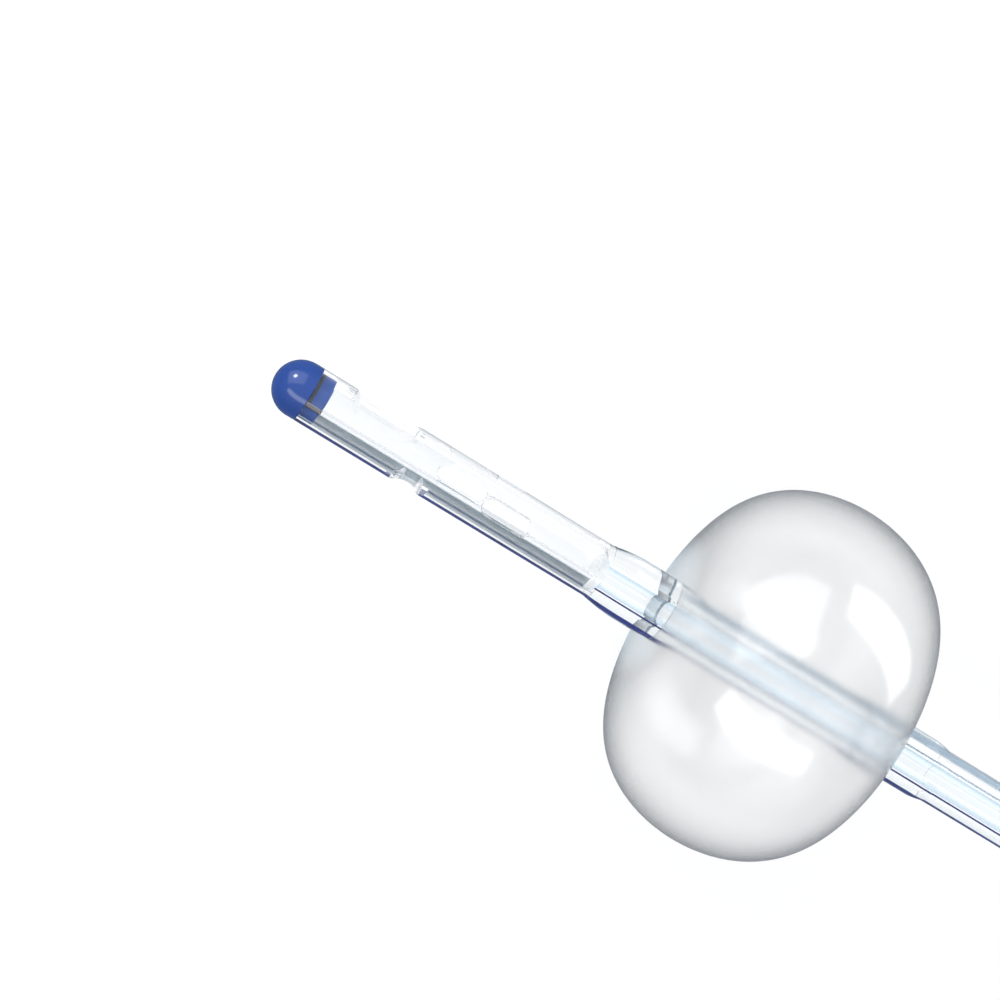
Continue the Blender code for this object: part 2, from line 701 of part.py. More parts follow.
def arm_direction():
    """Out to +Y from the funnel's axis, and down until the valve's barrel lies on the surface."""
    barrel = ARM_LENGTH + BARREL_END - BARREL_CHAMFER
    height = arm_origin().z
    fall = math.asin(height / math.hypot(barrel, BARREL_RADIUS)) - math.atan(BARREL_RADIUS / barrel)
    return Vector((
        math.cos(fall) * math.cos(ARM_ANGLE),
        math.cos(fall) * math.sin(ARM_ANGLE),
        -math.sin(fall),
    ))


def make_valve_base(frame):
    """Stem that plugs into the arm, flange against its end, and the skirt that holds the spring."""
    profile = [
        (SKIRT_RADIUS, SKIRT_END),
        (SKIRT_RADIUS, FLANGE_THICKNESS),
        (FLANGE_RADIUS, FLANGE_THICKNESS),
        (FLANGE_RADIUS, BOND_GAP),
        (BARB_STEM_RADIUS, BOND_GAP),
        (BARB_STEM_RADIUS, BARB_CHAMFER - BARB_LENGTH),
        (BARB_STEM_RADIUS - BARB_CHAMFER, -BARB_LENGTH),
        (BARB_BORE_RADIUS, -BARB_LENGTH),
        (BARB_BORE_RADIUS, FLANGE_THICKNESS),
        (CHAMBER_RADIUS, FLANGE_THICKNESS),
        (CHAMBER_RADIUS, SKIRT_END),
    ]
    turned("valve_base", profile, frame, "valve_white", steps=VALVE_STEPS, closed=True)


def make_valve_body(frame):
    """Barrel over the skirt, the seat's shoulder, and the tapered socket with its two lugs."""
    socket = around(SKIRT_RADIUS + BOND_GAP, VALVE_STEPS)
    luer_floor = SEAT_STATION + SEAT_THICKNESS
    mouth = luer_floor + LUER_DEPTH
    floor_radius = LUER_MOUTH_RADIUS - LUER_TAPER * LUER_DEPTH
    near = FLANGE_THICKNESS + BOND_GAP
    step = SKIRT_END + BOND_GAP
    profile = [
        (HUB_RADIUS, mouth),
        (HUB_RADIUS, BARREL_END + BARREL_CHAMFER),
        (BARREL_RADIUS - BARREL_CHAMFER, BARREL_END),
        (BARREL_RADIUS, BARREL_END - BARREL_CHAMFER),
        (BARREL_RADIUS, near),
        (socket, near),
        (socket, step),
        (CHAMBER_RADIUS, step),
        (CHAMBER_RADIUS, SEAT_STATION),
        (SEAT_RADIUS, SEAT_STATION),
        (SEAT_RADIUS, luer_floor),
        (floor_radius, luer_floor),
        (LUER_MOUTH_RADIUS, mouth),
    ]
    body = turned("valve_body", profile, frame, "valve_red", steps=VALVE_STEPS, closed=True)
    inner = (LUER_MOUTH_RADIUS + HUB_RADIUS) / 2.0
    for name, side in (("join_lug_left", 1.0), ("join_lug_right", -1.0)):
        size = (LUG_WIDTH, LUG_REACH - inner, LUG_LENGTH)
        centre = (0.0, side * (LUG_REACH + inner) / 2.0, mouth - LUG_LENGTH / 2.0)
        boolean(body, box(name, size, centre, frame), "UNION")
    return mouth


def poppet_front():
    return SEAT_STATION - SEAL_THICKNESS - 2.0 * BOND_GAP


def make_valve_stem(frame, mouth):
    """Push rod, poppet disc and the short guide inside the spring, one moulding."""
    front = poppet_front()
    back = front - POPPET_THICKNESS
    top = mouth - STEM_BELOW_MOUTH
    profile = [
        (0.0, top),
        (STEM_RADIUS - STEM_CHAMFER, top),
        (STEM_RADIUS, top - STEM_CHAMFER),
        (STEM_RADIUS, front),
        (POPPET_RADIUS, front),
        (POPPET_RADIUS, back),
        (SPRING_GUIDE_RADIUS, back),
        (SPRING_GUIDE_RADIUS, back - SPRING_GUIDE_LENGTH),
        (0.0, back - SPRING_GUIDE_LENGTH),
    ]
    turned("valve_stem", profile, frame, "valve_white", steps=VALVE_STEPS)


def make_valve_seal(frame):
    """The soft ring on the stem, between the poppet and the seat."""
    near = poppet_front() + BOND_GAP
    far = near + SEAL_THICKNESS
    bore = around(STEM_RADIUS + BOND_GAP, VALVE_STEPS)
    round_off = SEAL_THICKNESS / 4.0
    profile = [
        (POPPET_RADIUS - round_off, far),
        (POPPET_RADIUS, far - round_off),
        (POPPET_RADIUS, near + round_off),
        (POPPET_RADIUS - round_off, near),
        (bore, near),
        (bore, far),
    ]
    turned("valve_seal", profile, frame, "seal_rubber", steps=VALVE_STEPS, closed=True)


def make_valve_spring(frame):
    """A compression spring between the base's floor and the poppet, its end turns closed up."""
    floor = FLANGE_THICKNESS + BOND_GAP + SPRING_WIRE_RADIUS
    top = poppet_front() - POPPET_THICKNESS - BOND_GAP - SPRING_WIRE_RADIUS
    count = SPRING_TURNS * SPRING_POINTS_PER_TURN
    points = []
    for i in range(count + 1):
        angle = 2.0 * math.pi * i / SPRING_POINTS_PER_TURN
        height = floor + (top - floor) * ease(i / count)
        points.append((SPRING_RADIUS * math.cos(angle), SPRING_RADIUS * math.sin(angle), height))
    add(curve_tube("valve_spring", points, SPRING_WIRE_RADIUS, THREAD_SIDES), frame, "spring_steel")


def stand_on_origin(root):
    """Moves the whole object so that the origin is the middle of its base."""
    bpy.context.view_layer.update()
    depsgraph = bpy.context.evaluated_depsgraph_get()
    low = Vector((math.inf,) * 3)
    high = Vector((-math.inf,) * 3)
    for obj in PARTS.objects:
        seen = obj.evaluated_get(depsgraph)
        mesh = seen.to_mesh()
        for vertex in mesh.vertices:
            place = seen.matrix_world @ vertex.co
            low = Vector(map(min, low, place))
            high = Vector(map(max, high, place))
        seen.to_mesh_clear()
    root.location = (-(low.x + high.x) / 2.0, -(low.y + high.y) / 2.0, -low.z)
    bpy.context.view_layer.update()


CUFF_BORE_RADIUS = around(SHAFT_RADIUS + BOND_GAP, BALLOON_STEPS)

clear_scene()
PARTS = new_collection("urinary_catheter")
CUTTERS = new_collection("cutters")

root = new_empty("catheter_root")
pitched_down = Vector((math.cos(PITCH), 0.0, -math.sin(PITCH)))
straight_frame = frame_on("straight_end_frame", straight_point(0.0), pitched_down, root)
funnel_frame = frame_on("funnel_frame", funnel_origin(), funnel_direction(), root)
arm_frame = frame_on("arm_frame", arm_origin(), arm_direction(), root)
valve_frame = frame_on("valve_frame", arm_origin() + arm_direction() * ARM_LENGTH, arm_direction(), root)
bpy.context.view_layer.update()

make_tip(straight_frame)
make_eye_tube(straight_frame)
make_tip_xray_lines(straight_frame)
make_balloon(straight_frame)
make_shaft(root, straight_frame, funnel_frame)
make_xray_line(root)
make_fill_plugs(straight_frame, funnel_frame)
make_funnel(funnel_frame, arm_frame)
make_valve_base(valve_frame)
valve_mouth = make_valve_body(valve_frame)
make_valve_stem(valve_frame, valve_mouth)
make_valve_seal(valve_frame)
make_valve_spring(valve_frame)
stand_on_origin(root)
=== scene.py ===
# %% [markdown]
# # A clear silicone drainage catheter with its balloon filled
#
# The catheter is a soft clear tube with a blue rounded tip, four drainage eyes, a thin balloon and,
# at the far end, a forked funnel with a small valve. Every piece is seen through another one, so the
# look rests on smooth surfaces with a true wall thickness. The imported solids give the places, and the
# pieces below are finer surfaces, worked out on numpy grids, that stand in the same places.

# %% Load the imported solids
import math

import bmesh
import bpy
import numpy as np
from mathutils import Matrix, Vector


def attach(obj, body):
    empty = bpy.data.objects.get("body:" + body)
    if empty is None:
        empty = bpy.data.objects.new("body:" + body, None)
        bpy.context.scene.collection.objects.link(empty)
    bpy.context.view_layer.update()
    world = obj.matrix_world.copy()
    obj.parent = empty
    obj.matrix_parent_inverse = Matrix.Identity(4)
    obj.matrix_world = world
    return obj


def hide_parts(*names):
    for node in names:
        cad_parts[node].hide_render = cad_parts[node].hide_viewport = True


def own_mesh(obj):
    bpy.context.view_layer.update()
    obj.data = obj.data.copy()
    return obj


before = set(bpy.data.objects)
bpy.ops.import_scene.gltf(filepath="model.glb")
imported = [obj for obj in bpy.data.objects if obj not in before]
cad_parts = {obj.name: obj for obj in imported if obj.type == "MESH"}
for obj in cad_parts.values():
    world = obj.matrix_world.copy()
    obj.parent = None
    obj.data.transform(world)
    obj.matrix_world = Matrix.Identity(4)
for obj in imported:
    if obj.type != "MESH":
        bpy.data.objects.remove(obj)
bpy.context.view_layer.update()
print("solids:", sorted(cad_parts))

# %% [markdown]
# ## Where things are
#
# The tip end is straight and leans down a little towards the tail. A place on it is given by its
# station, the distance behind the nose, and by how far it lies to the side and over the axis. The
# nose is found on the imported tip, so that the stations follow the solids.

# %% The straight end's own directions
PITCH = math.radians(4.0)
TAILWARD = np.array((math.cos(PITCH), 0.0, -math.sin(PITCH)))
SIDEWAYS = np.array((0.0, 1.0, 0.0))
OVER = np.array((math.sin(PITCH), 0.0, math.cos(PITCH)))


def values(items, name, width=1, kind=np.float32):
    """One property of a mesh's corners, loops or faces, as an array."""
    flat = np.empty(len(items) * width, kind)
    items.foreach_get(name, flat)
    return flat.reshape(-1, width).astype(float) if width > 1 else flat


def node_points(name):
    """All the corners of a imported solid, as an array of places."""
    return values(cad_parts[name].data.vertices, "co", 3)


def into_scene(name, data):
    """A new object that holds the given data, linked to the scene."""
    thing = bpy.data.objects.new(name, data)
    bpy.context.scene.collection.objects.link(thing)
    return thing


tip_points = node_points("tip")
NOSE = tip_points[np.argmin(tip_points @ TAILWARD)]


def on_straight(station, side=0.0, over=0.0):
    """The place of a station on the straight end: along the axis, then sideways, then over it."""
    station, side, over = np.broadcast_arrays(station, side, over)
    return NOSE + station[..., None] * TAILWARD + side[..., None] * SIDEWAYS + over[..., None] * OVER


print("nose at", NOSE.round(5))

# %% [markdown]
# ## The camera
#
# The photograph looks down on the straight end, almost squarely: the tip is a little nearer to the
# lens than the balloon, and the tube runs down to the right at 31 degrees. The camera is set first,
# because every later choice is judged through it.

# %% The camera at the photograph's viewing angle
CAMERA_DISTANCE = 0.24
TILT_TO_TIP = math.radians(10.0)
TUBE_SLOPE = math.radians(31.4)
AIMED_STATION = 0.02606
AIMED_SIDE = 0.00092

towards_camera = math.cos(TILT_TO_TIP) * OVER - math.sin(TILT_TO_TIP) * TAILWARD
tail_in_view = math.cos(TILT_TO_TIP) * TAILWARD + math.sin(TILT_TO_TIP) * OVER
to_the_right = math.cos(TUBE_SLOPE) * tail_in_view + math.sin(TUBE_SLOPE) * SIDEWAYS
upwards_in_view = math.cos(TUBE_SLOPE) * SIDEWAYS - math.sin(TUBE_SLOPE) * tail_in_view

camera = into_scene("camera", bpy.data.cameras.new("camera"))
camera.data.lens = 85.0
camera.data.sensor_width = 36.0
aim = on_straight(AIMED_STATION, AIMED_SIDE)
turn = Matrix((to_the_right, upwards_in_view, towards_camera)).transposed().to_4x4()
camera.matrix_world = Matrix.Translation(aim + CAMERA_DISTANCE * towards_camera) @ turn
bpy.context.scene.camera = camera
print("camera at", np.array(camera.matrix_world.translation).round(4))

# %% [markdown]
# ## Floor, light and background
#
# The photograph's background is pure white, so the plain pale floor adds a white glow for the rays
# that come from the lens and for those that have been through clear silicone. A part of the floor's
# own lit colour stays in it, and that part keeps the shadow. Mirrored rays see the floor grey, with a
# pale patch under the balloon's front. The world is brighter overhead and darker low down.

# %% Shader nodes in short
def add_node(tree, kind, sockets=(), **settings):
    """A shader node with its settings, and constants set straight on the named sockets."""
    node = tree.nodes.new("ShaderNode" + kind)
    for setting, value in settings.items():
        setattr(node, setting, value)
    for socket, value in dict(sockets).items():
        node.inputs[socket].default_value = value
    return node


def wire(tree, *pairs):
    """Joins an output to an input, pair by pair. A node given alone stands for its first output."""
    for source, target in pairs:
        tree.links.new(source if hasattr(source, "is_output") else source.outputs[0], target)


def new_material(name):
    """An empty node material, its tree and its output node."""
    material = bpy.data.materials.new(name)
    material.use_nodes = True
    material.node_tree.nodes.clear()
    return material, material.node_tree, add_node(material.node_tree, "OutputMaterial")


# %% Floor
FLOOR_RADIUS = 1.2
FLOOR_CORNERS = 96
FLOOR_GLOW = 0.78
MATT_FLOOR = (0.86, 0.86, 0.86, 1.0)
MIRRORED_FLOOR = (0.22, 0.25, 0.29, 1.0)
PATCH_COLOUR = (0.76, 0.9, 1.0, 1.0)
PATCH_MIDDLE = on_straight(0.0435, 0.0, -0.022) * (1.0, 1.0, 0.0)
PATCH_RADIUS = 0.011


def floor_material():
    """White glow for lens and refracted rays over a lit matt surface, grey for mirrored ones."""
    material, tree, output = new_material("pale_floor")
    rays = add_node(tree, "LightPath")
    seen = add_node(tree, "Math", operation="MAXIMUM")
    share = add_node(tree, "Math", {1: FLOOR_GLOW}, operation="MULTIPLY")
    matt = add_node(tree, "BsdfDiffuse", {"Color": MATT_FLOOR})
    glow = add_node(tree, "Emission")
    lit = add_node(tree, "MixShader")
    wire(
        tree, (rays.outputs["Is Camera Ray"], seen.inputs[0]), (seen, share.inputs[0]),
        (rays.outputs["Is Transmission Ray"], seen.inputs[1]), (share, lit.inputs[0]),
        (matt, lit.inputs[1]), (glow, lit.inputs[2]),
    )
    # Painted reflection: for mirrored rays the floor glows flat grey, with a pale glowing patch under
    # the balloon's front.
    place = add_node(tree, "TexCoord")
    away = add_node(tree, "VectorMath", {1: tuple(PATCH_MIDDLE)}, operation="DISTANCE")
    limits = {"From Min": PATCH_RADIUS / 2.0, "From Max": PATCH_RADIUS}
    reach = add_node(tree, "MapRange", limits, interpolation_type="SMOOTHSTEP")
    shade = add_node(tree, "Mix", {"A": PATCH_COLOUR, "B": MIRRORED_FLOOR}, data_type="RGBA")
    painted_reflection = add_node(tree, "Emission")
    only_mirrored = add_node(tree, "Math", operation="GREATER_THAN")
    choice = add_node(tree, "MixShader")
    wire(
        tree, (place.outputs["Object"], away.inputs[0]),
        (away.outputs["Value"], reach.inputs["Value"]), (reach, shade.inputs["Factor"]),
        (shade.outputs["Result"], painted_reflection.inputs["Color"]),
        (rays.outputs["Is Glossy Ray"], only_mirrored.inputs[0]),
        (rays.outputs["Is Transmission Ray"], only_mirrored.inputs[1]),
        (only_mirrored, choice.inputs[0]), (lit, choice.inputs[1]),
        (painted_reflection, choice.inputs[2]), (choice, output.inputs["Surface"]),
    )
    return material


floor_mesh = bpy.data.meshes.new("floor")
around = np.linspace(0.0, 2.0 * math.pi, FLOOR_CORNERS, endpoint=False)
ring = FLOOR_RADIUS * np.stack((np.cos(around), np.sin(around), 0.0 * around), axis=1)
floor_mesh.from_pydata(ring.tolist(), [], [list(range(FLOOR_CORNERS))])
floor_mesh.materials.append(floor_material())
into_scene("floor", floor_mesh)
print("floor radius", FLOOR_RADIUS)

# %% Soft lamps
LAMP_AIM = 0.048
STRIP_LEAN = math.radians(35.0)


def soft_lamp(name, direction, distance, width, height, brightness, shape="RECTANGLE"):
    """A flat lamp of even brightness, in a direction given as right, up and towards the camera."""
    aimed = on_straight(LAMP_AIM)
    steps = np.array((to_the_right, upwards_in_view, towards_camera))
    way = np.array(direction) @ steps
    way /= np.linalg.norm(way)
    light = bpy.data.lights.new(name, "AREA")
    light.shape = shape
    light.size, light.size_y = width, height
    area = width * height * (math.pi / 4.0 if shape == "DISK" else 1.0)
    light.energy = brightness * math.pi * area
    lamp = into_scene(name, light)
    lamp.location = aimed + distance * way
    back, along = Vector(way), Vector(TAILWARD)
    side = back.cross(along).normalized()
    along = side.cross(back)
    lamp.rotation_euler = Matrix((along, side, back)).transposed().to_euler()


# The strip lamp stands square to the tube and leans over to its right side.
across = math.sin(STRIP_LEAN) * np.array((-math.sin(TUBE_SLOPE), -math.cos(TUBE_SLOPE), 0.0))
beside_tube = across + (0.0, 0.0, math.cos(STRIP_LEAN))
soft_lamp("key_lamp", (-0.3, 0.76, 0.57), 1.0, 0.2, 0.2, 30.0, "DISK")
soft_lamp("strip_lamp", beside_tube, 0.7, 1.2, 0.22, 3.8)
soft_lamp("top_lamp", (-0.2, 0.73, 0.65), 0.9, 1.15, 0.85, 1.45)
soft_lamp("side_lamp", (0.93, 0.26, 0.24), 0.8, 0.95, 0.36, 2.6)

# %% World
LOW_SKY = (0.3, 0.34, 0.38, 1.0)
HIGH_SKY = (0.84, 0.86, 0.88, 1.0)

world = bpy.data.worlds.new("studio")
world.use_nodes = True
bpy.context.scene.world = world
sky = world.node_tree
sky.nodes.clear()
world_output = add_node(sky, "OutputWorld")
studio = add_node(sky, "Background")
white = add_node(sky, "Background", {"Color": (1.0, 1.0, 1.0, 1.0)})
choose = add_node(sky, "MixShader")
heading = add_node(sky, "TexCoord")
parts = add_node(sky, "SeparateXYZ")
height_ramp = add_node(sky, "ValToRGB")
sky_rays = add_node(sky, "LightPath")
low, high = height_ramp.color_ramp.elements
low.position, low.color = 0.0, LOW_SKY
high.position, high.color = 0.8, HIGH_SKY
wire(
    sky, (heading.outputs["Generated"], parts.inputs[0]), (parts.outputs["Z"], height_ramp.inputs[0]),
    (height_ramp, studio.inputs["Color"]), (sky_rays.outputs["Is Camera Ray"], choose.inputs[0]),
    (studio, choose.inputs[1]), (white, choose.inputs[2]), (choose, world_output.inputs["Surface"]),
)
bpy.context.scene.view_settings.view_transform = "Standard"
bpy.context.scene.cycles.max_bounces = 24
bpy.context.scene.cycles.transmission_bounces = 24
bpy.context.scene.cycles.glossy_bounces = 8
print("world:", world.name)

# %% [markdown]
# ## Surfaces from grids
#
# Almost every piece here is a tube or a turned shape. A grid of points, rows along it and columns
# around it, is worked out in one go as an array, and each cell of the grid becomes one face. Where a
# row shrinks to a point, its corners are merged, so that poles are closed.

# %% Grid to mesh
def surface(name, grid, wrap_rows=False):
    """A mesh of the grid's cells. Each row is a closed ring."""
    rows, columns = grid.shape[:2]
    index = np.arange(rows * columns).reshape(rows, columns)
    near, far = (index, np.roll(index, -1, axis=0)) if wrap_rows else (index[:-1], index[1:])
    quads = np.stack((near, np.roll(near, -1, 1), np.roll(far, -1, 1), far), axis=-1).reshape(-1, 4)
    mesh = bpy.data.meshes.new(name)
    mesh.vertices.add(rows * columns)
    mesh.vertices.foreach_set("co", grid.reshape(-1).astype(np.float32))
    mesh.loops.add(quads.size)
    mesh.loops.foreach_set("vertex_index", quads.reshape(-1).astype(np.int32))
    mesh.polygons.add(len(quads))
    mesh.polygons.foreach_set("loop_start", np.arange(0, quads.size, 4, dtype=np.int32))
    mesh.update(calc_edges=True)
    clean(mesh)
    soften(mesh)
    return into_scene(name, mesh)


def clean(mesh):
    """Merges corners that fall together, and turns all faces outwards."""
    work = bmesh.new()
    work.from_mesh(mesh)
    bmesh.ops.remove_doubles(work, verts=work.verts, dist=1e-7)
    bmesh.ops.recalc_face_normals(work, faces=work.faces)
    work.to_mesh(mesh)
    work.free()


SHARP_ANGLE = math.radians(35.0)


def soften(mesh):
    """Smooth shading that keeps the sharper edges."""
    mesh.shade_smooth()
    mesh.set_sharp_from_angle(angle=SHARP_ANGLE)


def closed_ends(grid):
    """The grid with a flat cap at each end, drawn in to the ring's middle."""
    first = grid[:1].mean(axis=1, keepdims=True).repeat(grid.shape[1], axis=1)
    last = grid[-1:].mean(axis=1, keepdims=True).repeat(grid.shape[1], axis=1)
    return np.concatenate((first, grid, last))


def smooth_step(t):
    """Rises gently from nought to one while t does."""
    t = np.clip(t, 0.0, 1.0)
    return t * t * (3.0 - 2.0 * t)


def turned(profile, columns=96, offset=0.0):
    """A grid from a profile of (radius, station) pairs carried round the straight end's axis."""
    profile = np.asarray(profile, float)
    angle = np.linspace(0.0, 2.0 * math.pi, columns, endpoint=False)
    radius, station = profile[:, :1], profile[:, 1:]
    return on_straight(station + 0.0 * angle, offset + radius * np.cos(angle), radius * np.sin(angle))


def cut(piece, *tools, operation="DIFFERENCE"):
    """Takes closed tools away from a closed piece, or joins them to it, and removes the tools."""
    for tool in tools:
        step = piece.modifiers.new("cut", "BOOLEAN")
        step.operation = operation
        step.object = tool
        step.solver = "EXACT"
        step.material_mode = "TRANSFER"
    bpy.context.view_layer.update()
    seen = piece.evaluated_get(bpy.context.evaluated_depsgraph_get())
    mesh = bpy.data.meshes.new_from_object(seen)
    piece.modifiers.clear()
    piece.data = mesh
    soften(mesh)
    for tool in tools:
        bpy.data.objects.remove(tool, do_unlink=True)
    return piece


def dress(piece, material, slot, body, *nodes):
    """Gives a piece its finish, lets it ride on a body and stand for its solids. The slot is not used.
    """
    if not piece.data.materials:
        piece.data.materials.append(material)
    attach(piece, body)
    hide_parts(*nodes)
    triangles = sum(len(face.vertices) - 2 for face in piece.data.polygons)
    print(piece.name, triangles, "triangles")


# %% [markdown]
# ## Finishes
#
# Silicone bends light a little less than glass, and its skin is never perfectly even. One node group
# gives every finish its slow unevenness, as a mask and a bump, and each material uses it with its
# own scale.

# %% The unevenness group
def unevenness_group():
    """Slow noise on the given coordinates, put out as a mask and as a bumped normal."""
    group = bpy.data.node_groups.new("moulded_unevenness", "ShaderNodeTree")
    for name, way, kind in (
        ("Vector", "INPUT", "Vector"), ("Scale", "INPUT", "Float"), ("Bump", "INPUT", "Float"),
        ("Mask", "OUTPUT", "Float"), ("Normal", "OUTPUT", "Vector"),
    ):
        group.interface.new_socket(name, in_out=way, socket_type="NodeSocket" + kind)
    inside = group.nodes.new("NodeGroupInput")
    outside = group.nodes.new("NodeGroupOutput")
    slow = add_node(group, "TexNoise", {"Detail": 0.5})
    bump = add_node(group, "Bump", {"Distance": 0.0002})
    wire(
        group, (inside.outputs["Vector"], slow.inputs["Vector"]),
        (inside.outputs["Scale"], slow.inputs["Scale"]),
        (inside.outputs["Bump"], bump.inputs["Strength"]),
        (slow.outputs["Fac"], bump.inputs["Height"]),
        (slow.outputs["Fac"], outside.inputs["Mask"]), (bump, outside.inputs["Normal"]),
    )
    return group


UNEVENNESS = unevenness_group()


def paint_rim_shade(tree, colour, rim):
    """Paints shade on a colour: mixes it towards a darker rim colour where the surface is seen edge-on.
    """
    start, power, painted_rim_colour = rim
    view = add_node(tree, "LayerWeight", {"Blend": 0.5})
    reach = add_node(tree, "MapRange", {"From Min": start})
    bend_over = add_node(tree, "Math", {1: power}, operation="POWER")
    tinted = add_node(tree, "Mix", {"B": (*painted_rim_colour, 1.0)}, data_type="RGBA")
    wire(
        tree, (view.outputs["Facing"], reach.inputs["Value"]), (reach, bend_over.inputs[0]),
        (bend_over, tinted.inputs["Factor"]), (colour.outputs["Result"], tinted.inputs["A"]),
    )
    return tinted


def moulded(name, dark, light, rough, scale, bump, transmission=0.0, ior=1.41, metallic=0.0, rim=None):
    """A Principled finish whose colour and roughness drift, with or without painted shade at the rim.
    """
    material, tree, output = new_material(name)
    glassy = {"Transmission Weight": transmission, "IOR": ior, "Metallic": metallic}
    shader = add_node(tree, "BsdfPrincipled", glassy)
    place = add_node(tree, "TexCoord")
    uneven = add_node(tree, "Group", {"Scale": scale, "Bump": bump}, node_tree=UNEVENNESS)
    colour = add_node(tree, "Mix", {"A": (*dark, 1.0), "B": (*light, 1.0)}, data_type="RGBA")
    span = {"From Min": 0.3, "From Max": 0.7, "To Min": rough[0], "To Max": rough[1]}
    roughness = add_node(tree, "MapRange", span)
    coloured = paint_rim_shade(tree, colour, rim) if rim else colour
    wire(
        tree, (place.outputs["Object"], uneven.inputs["Vector"]),
        (uneven.outputs["Mask"], colour.inputs["Factor"]),
        (uneven.outputs["Mask"], roughness.inputs["Value"]),
        (coloured.outputs["Result"], shader.inputs["Base Color"]),
        (roughness, shader.inputs["Roughness"]), (uneven.outputs["Normal"], shader.inputs["Normal"]),
        (shader, output.inputs["Surface"]),
    )
    return material


# %% The finishes
# Painted shade: the clear, shaft and bore finishes darken towards a rim colour where they are seen
# edge-on.
clear_silicone = moulded(
    "clear_silicone", (0.955, 0.97, 0.984), (0.975, 0.986, 0.996), (0.0, 0.01), 150.0, 0.0,
    transmission=1.0, rim=(0.35, 2.0, (0.34, 0.46, 0.56)),
)
shaft_silicone = moulded(
    "shaft_silicone", (0.95, 0.98, 0.995), (0.97, 0.99, 1.0), (0.0, 0.01), 150.0, 0.0,
    transmission=1.0, rim=(0.25, 1.6, (0.42, 0.58, 0.7)),
)
bore_silicone = moulded(
    "bore_silicone", (0.97, 0.985, 0.995), (0.98, 0.99, 1.0), (0.0, 0.01), 150.0, 0.0,
    transmission=1.0, rim=(0.05, 0.7, (0.42, 0.7, 0.92)),
)
# Painted shade: the clear partition is tinted grey.
partition_painted_shade = moulded(
    "partition_painted_shade", (0.76, 0.78, 0.81), (0.79, 0.81, 0.84), (0.0, 0.02), 300.0, 0.0,
    transmission=1.0,
)
cut_silicone = moulded(
    "cut_silicone", (0.98, 0.99, 0.995), (0.99, 0.995, 1.0), (0.22, 0.28), 600.0, 0.0,
    transmission=0.75, ior=1.04,
)
# Painted shade: the filling passage's walls are grey-blue and partly matt, so that the passage shows as
# a dark line.
passage_painted_shade = moulded(
    "passage_painted_shade", (0.58, 0.7, 0.8), (0.62, 0.74, 0.84), (0.2, 0.3), 300.0, 0.0,
    transmission=0.6,
)
# Painted shade: the balloon darkens to grey where its membrane is seen edge-on.
balloon_silicone = moulded(
    "balloon_silicone", (0.985, 0.99, 0.994), (1.0, 1.0, 1.0), (0.12, 0.14), 90.0, 0.0,
    transmission=1.0, ior=1.6, rim=(0.3, 2.4, (0.24, 0.28, 0.31)),
)
bond_silicone = moulded(
    "bond_silicone", (0.72, 0.86, 0.95), (0.78, 0.9, 0.98), (0.3, 0.34), 300.0, 0.0,
    transmission=0.25,
)
# Painted shade: the small channel between partition and wall is grey-blue and partly matt, as a dark
# band along the tube.
channel_painted_shade = moulded(
    "channel_painted_shade", (0.35, 0.42, 0.465), (0.365, 0.435, 0.48), (0.29, 0.31), 300.0, 0.0,
    transmission=0.35,
)
blue_silicone = moulded(
    "blue_silicone", (0.014, 0.045, 0.2), (0.018, 0.053, 0.23), (0.12, 0.15), 400.0, 0.005,
    ior=1.46,
)
# Painted light: the spigot, which sits inside the clear tube, is a brighter copy of the nose's blue.
spigot_painted_light = moulded("spigot_painted_light", (0.04, 0.1, 0.36), (0.048, 0.115, 0.4), (0.3, 0.4), 400.0, 0.0)
# Painted shade: near-black for the groove, the slot and the partition's front inside the slot.
groove_painted_shade = moulded("groove_painted_shade", (0.06, 0.066, 0.08), (0.07, 0.076, 0.09), (0.4, 0.5), 600.0, 0.0)
xray_blue = moulded("xray_blue", (0.012, 0.03, 0.25), (0.018, 0.04, 0.3), (0.4, 0.5), 600.0, 0.0)
funnel_silicone = moulded(
    "funnel_silicone", (0.9, 0.94, 0.96), (0.94, 0.97, 0.99), (0.14, 0.22), 200.0, 0.05,
    transmission=0.9,
)
valve_red = moulded("valve_red", (0.5, 0.02, 0.022), (0.58, 0.03, 0.032), (0.28, 0.38), 500.0, 0.04)
valve_white = moulded("valve_white", (0.78, 0.79, 0.8), (0.84, 0.85, 0.86), (0.3, 0.42), 500.0, 0.04)
seal_rubber = moulded("seal_rubber", (0.03, 0.03, 0.034), (0.05, 0.05, 0.055), (0.5, 0.65), 900.0, 0.08)
spring_steel = moulded(
    "spring_steel", (0.58, 0.59, 0.6), (0.68, 0.69, 0.7), (0.18, 0.28), 900.0, 0.02,
    metallic=1.0, ior=2.5,
)
print("finishes:", len(bpy.data.materials))

# %% [markdown]
# ## The blue tip
#
# The tip is one blue moulding: a round nose, a short land, and behind its shoulder a spigot that plugs
# into the tube. A narrow groove lies between shoulder and spigot. It is a turned shape, so a profile
# of radius against station describes it.

# %% The tip
TUBE_RADIUS = 0.003
DOME_LENGTH = 0.003
SEAM = 0.0039
SPIGOT_LENGTH = 0.00185
GROOVE_WIDTH = 0.00045
# The groove is nearly flat; its dark look is painted shade.
GROOVE_DEPTH = 0.000005
EYE_BORE = 0.00178
SOFT_EDGE = 0.00006
FIT = 0.00001
PARTITION_SIDE = -0.00084
PARTITION_WALL = 0.00042
PARTITION_SETBACK = 0.0002
PARTITION_ROOT = 0.0003


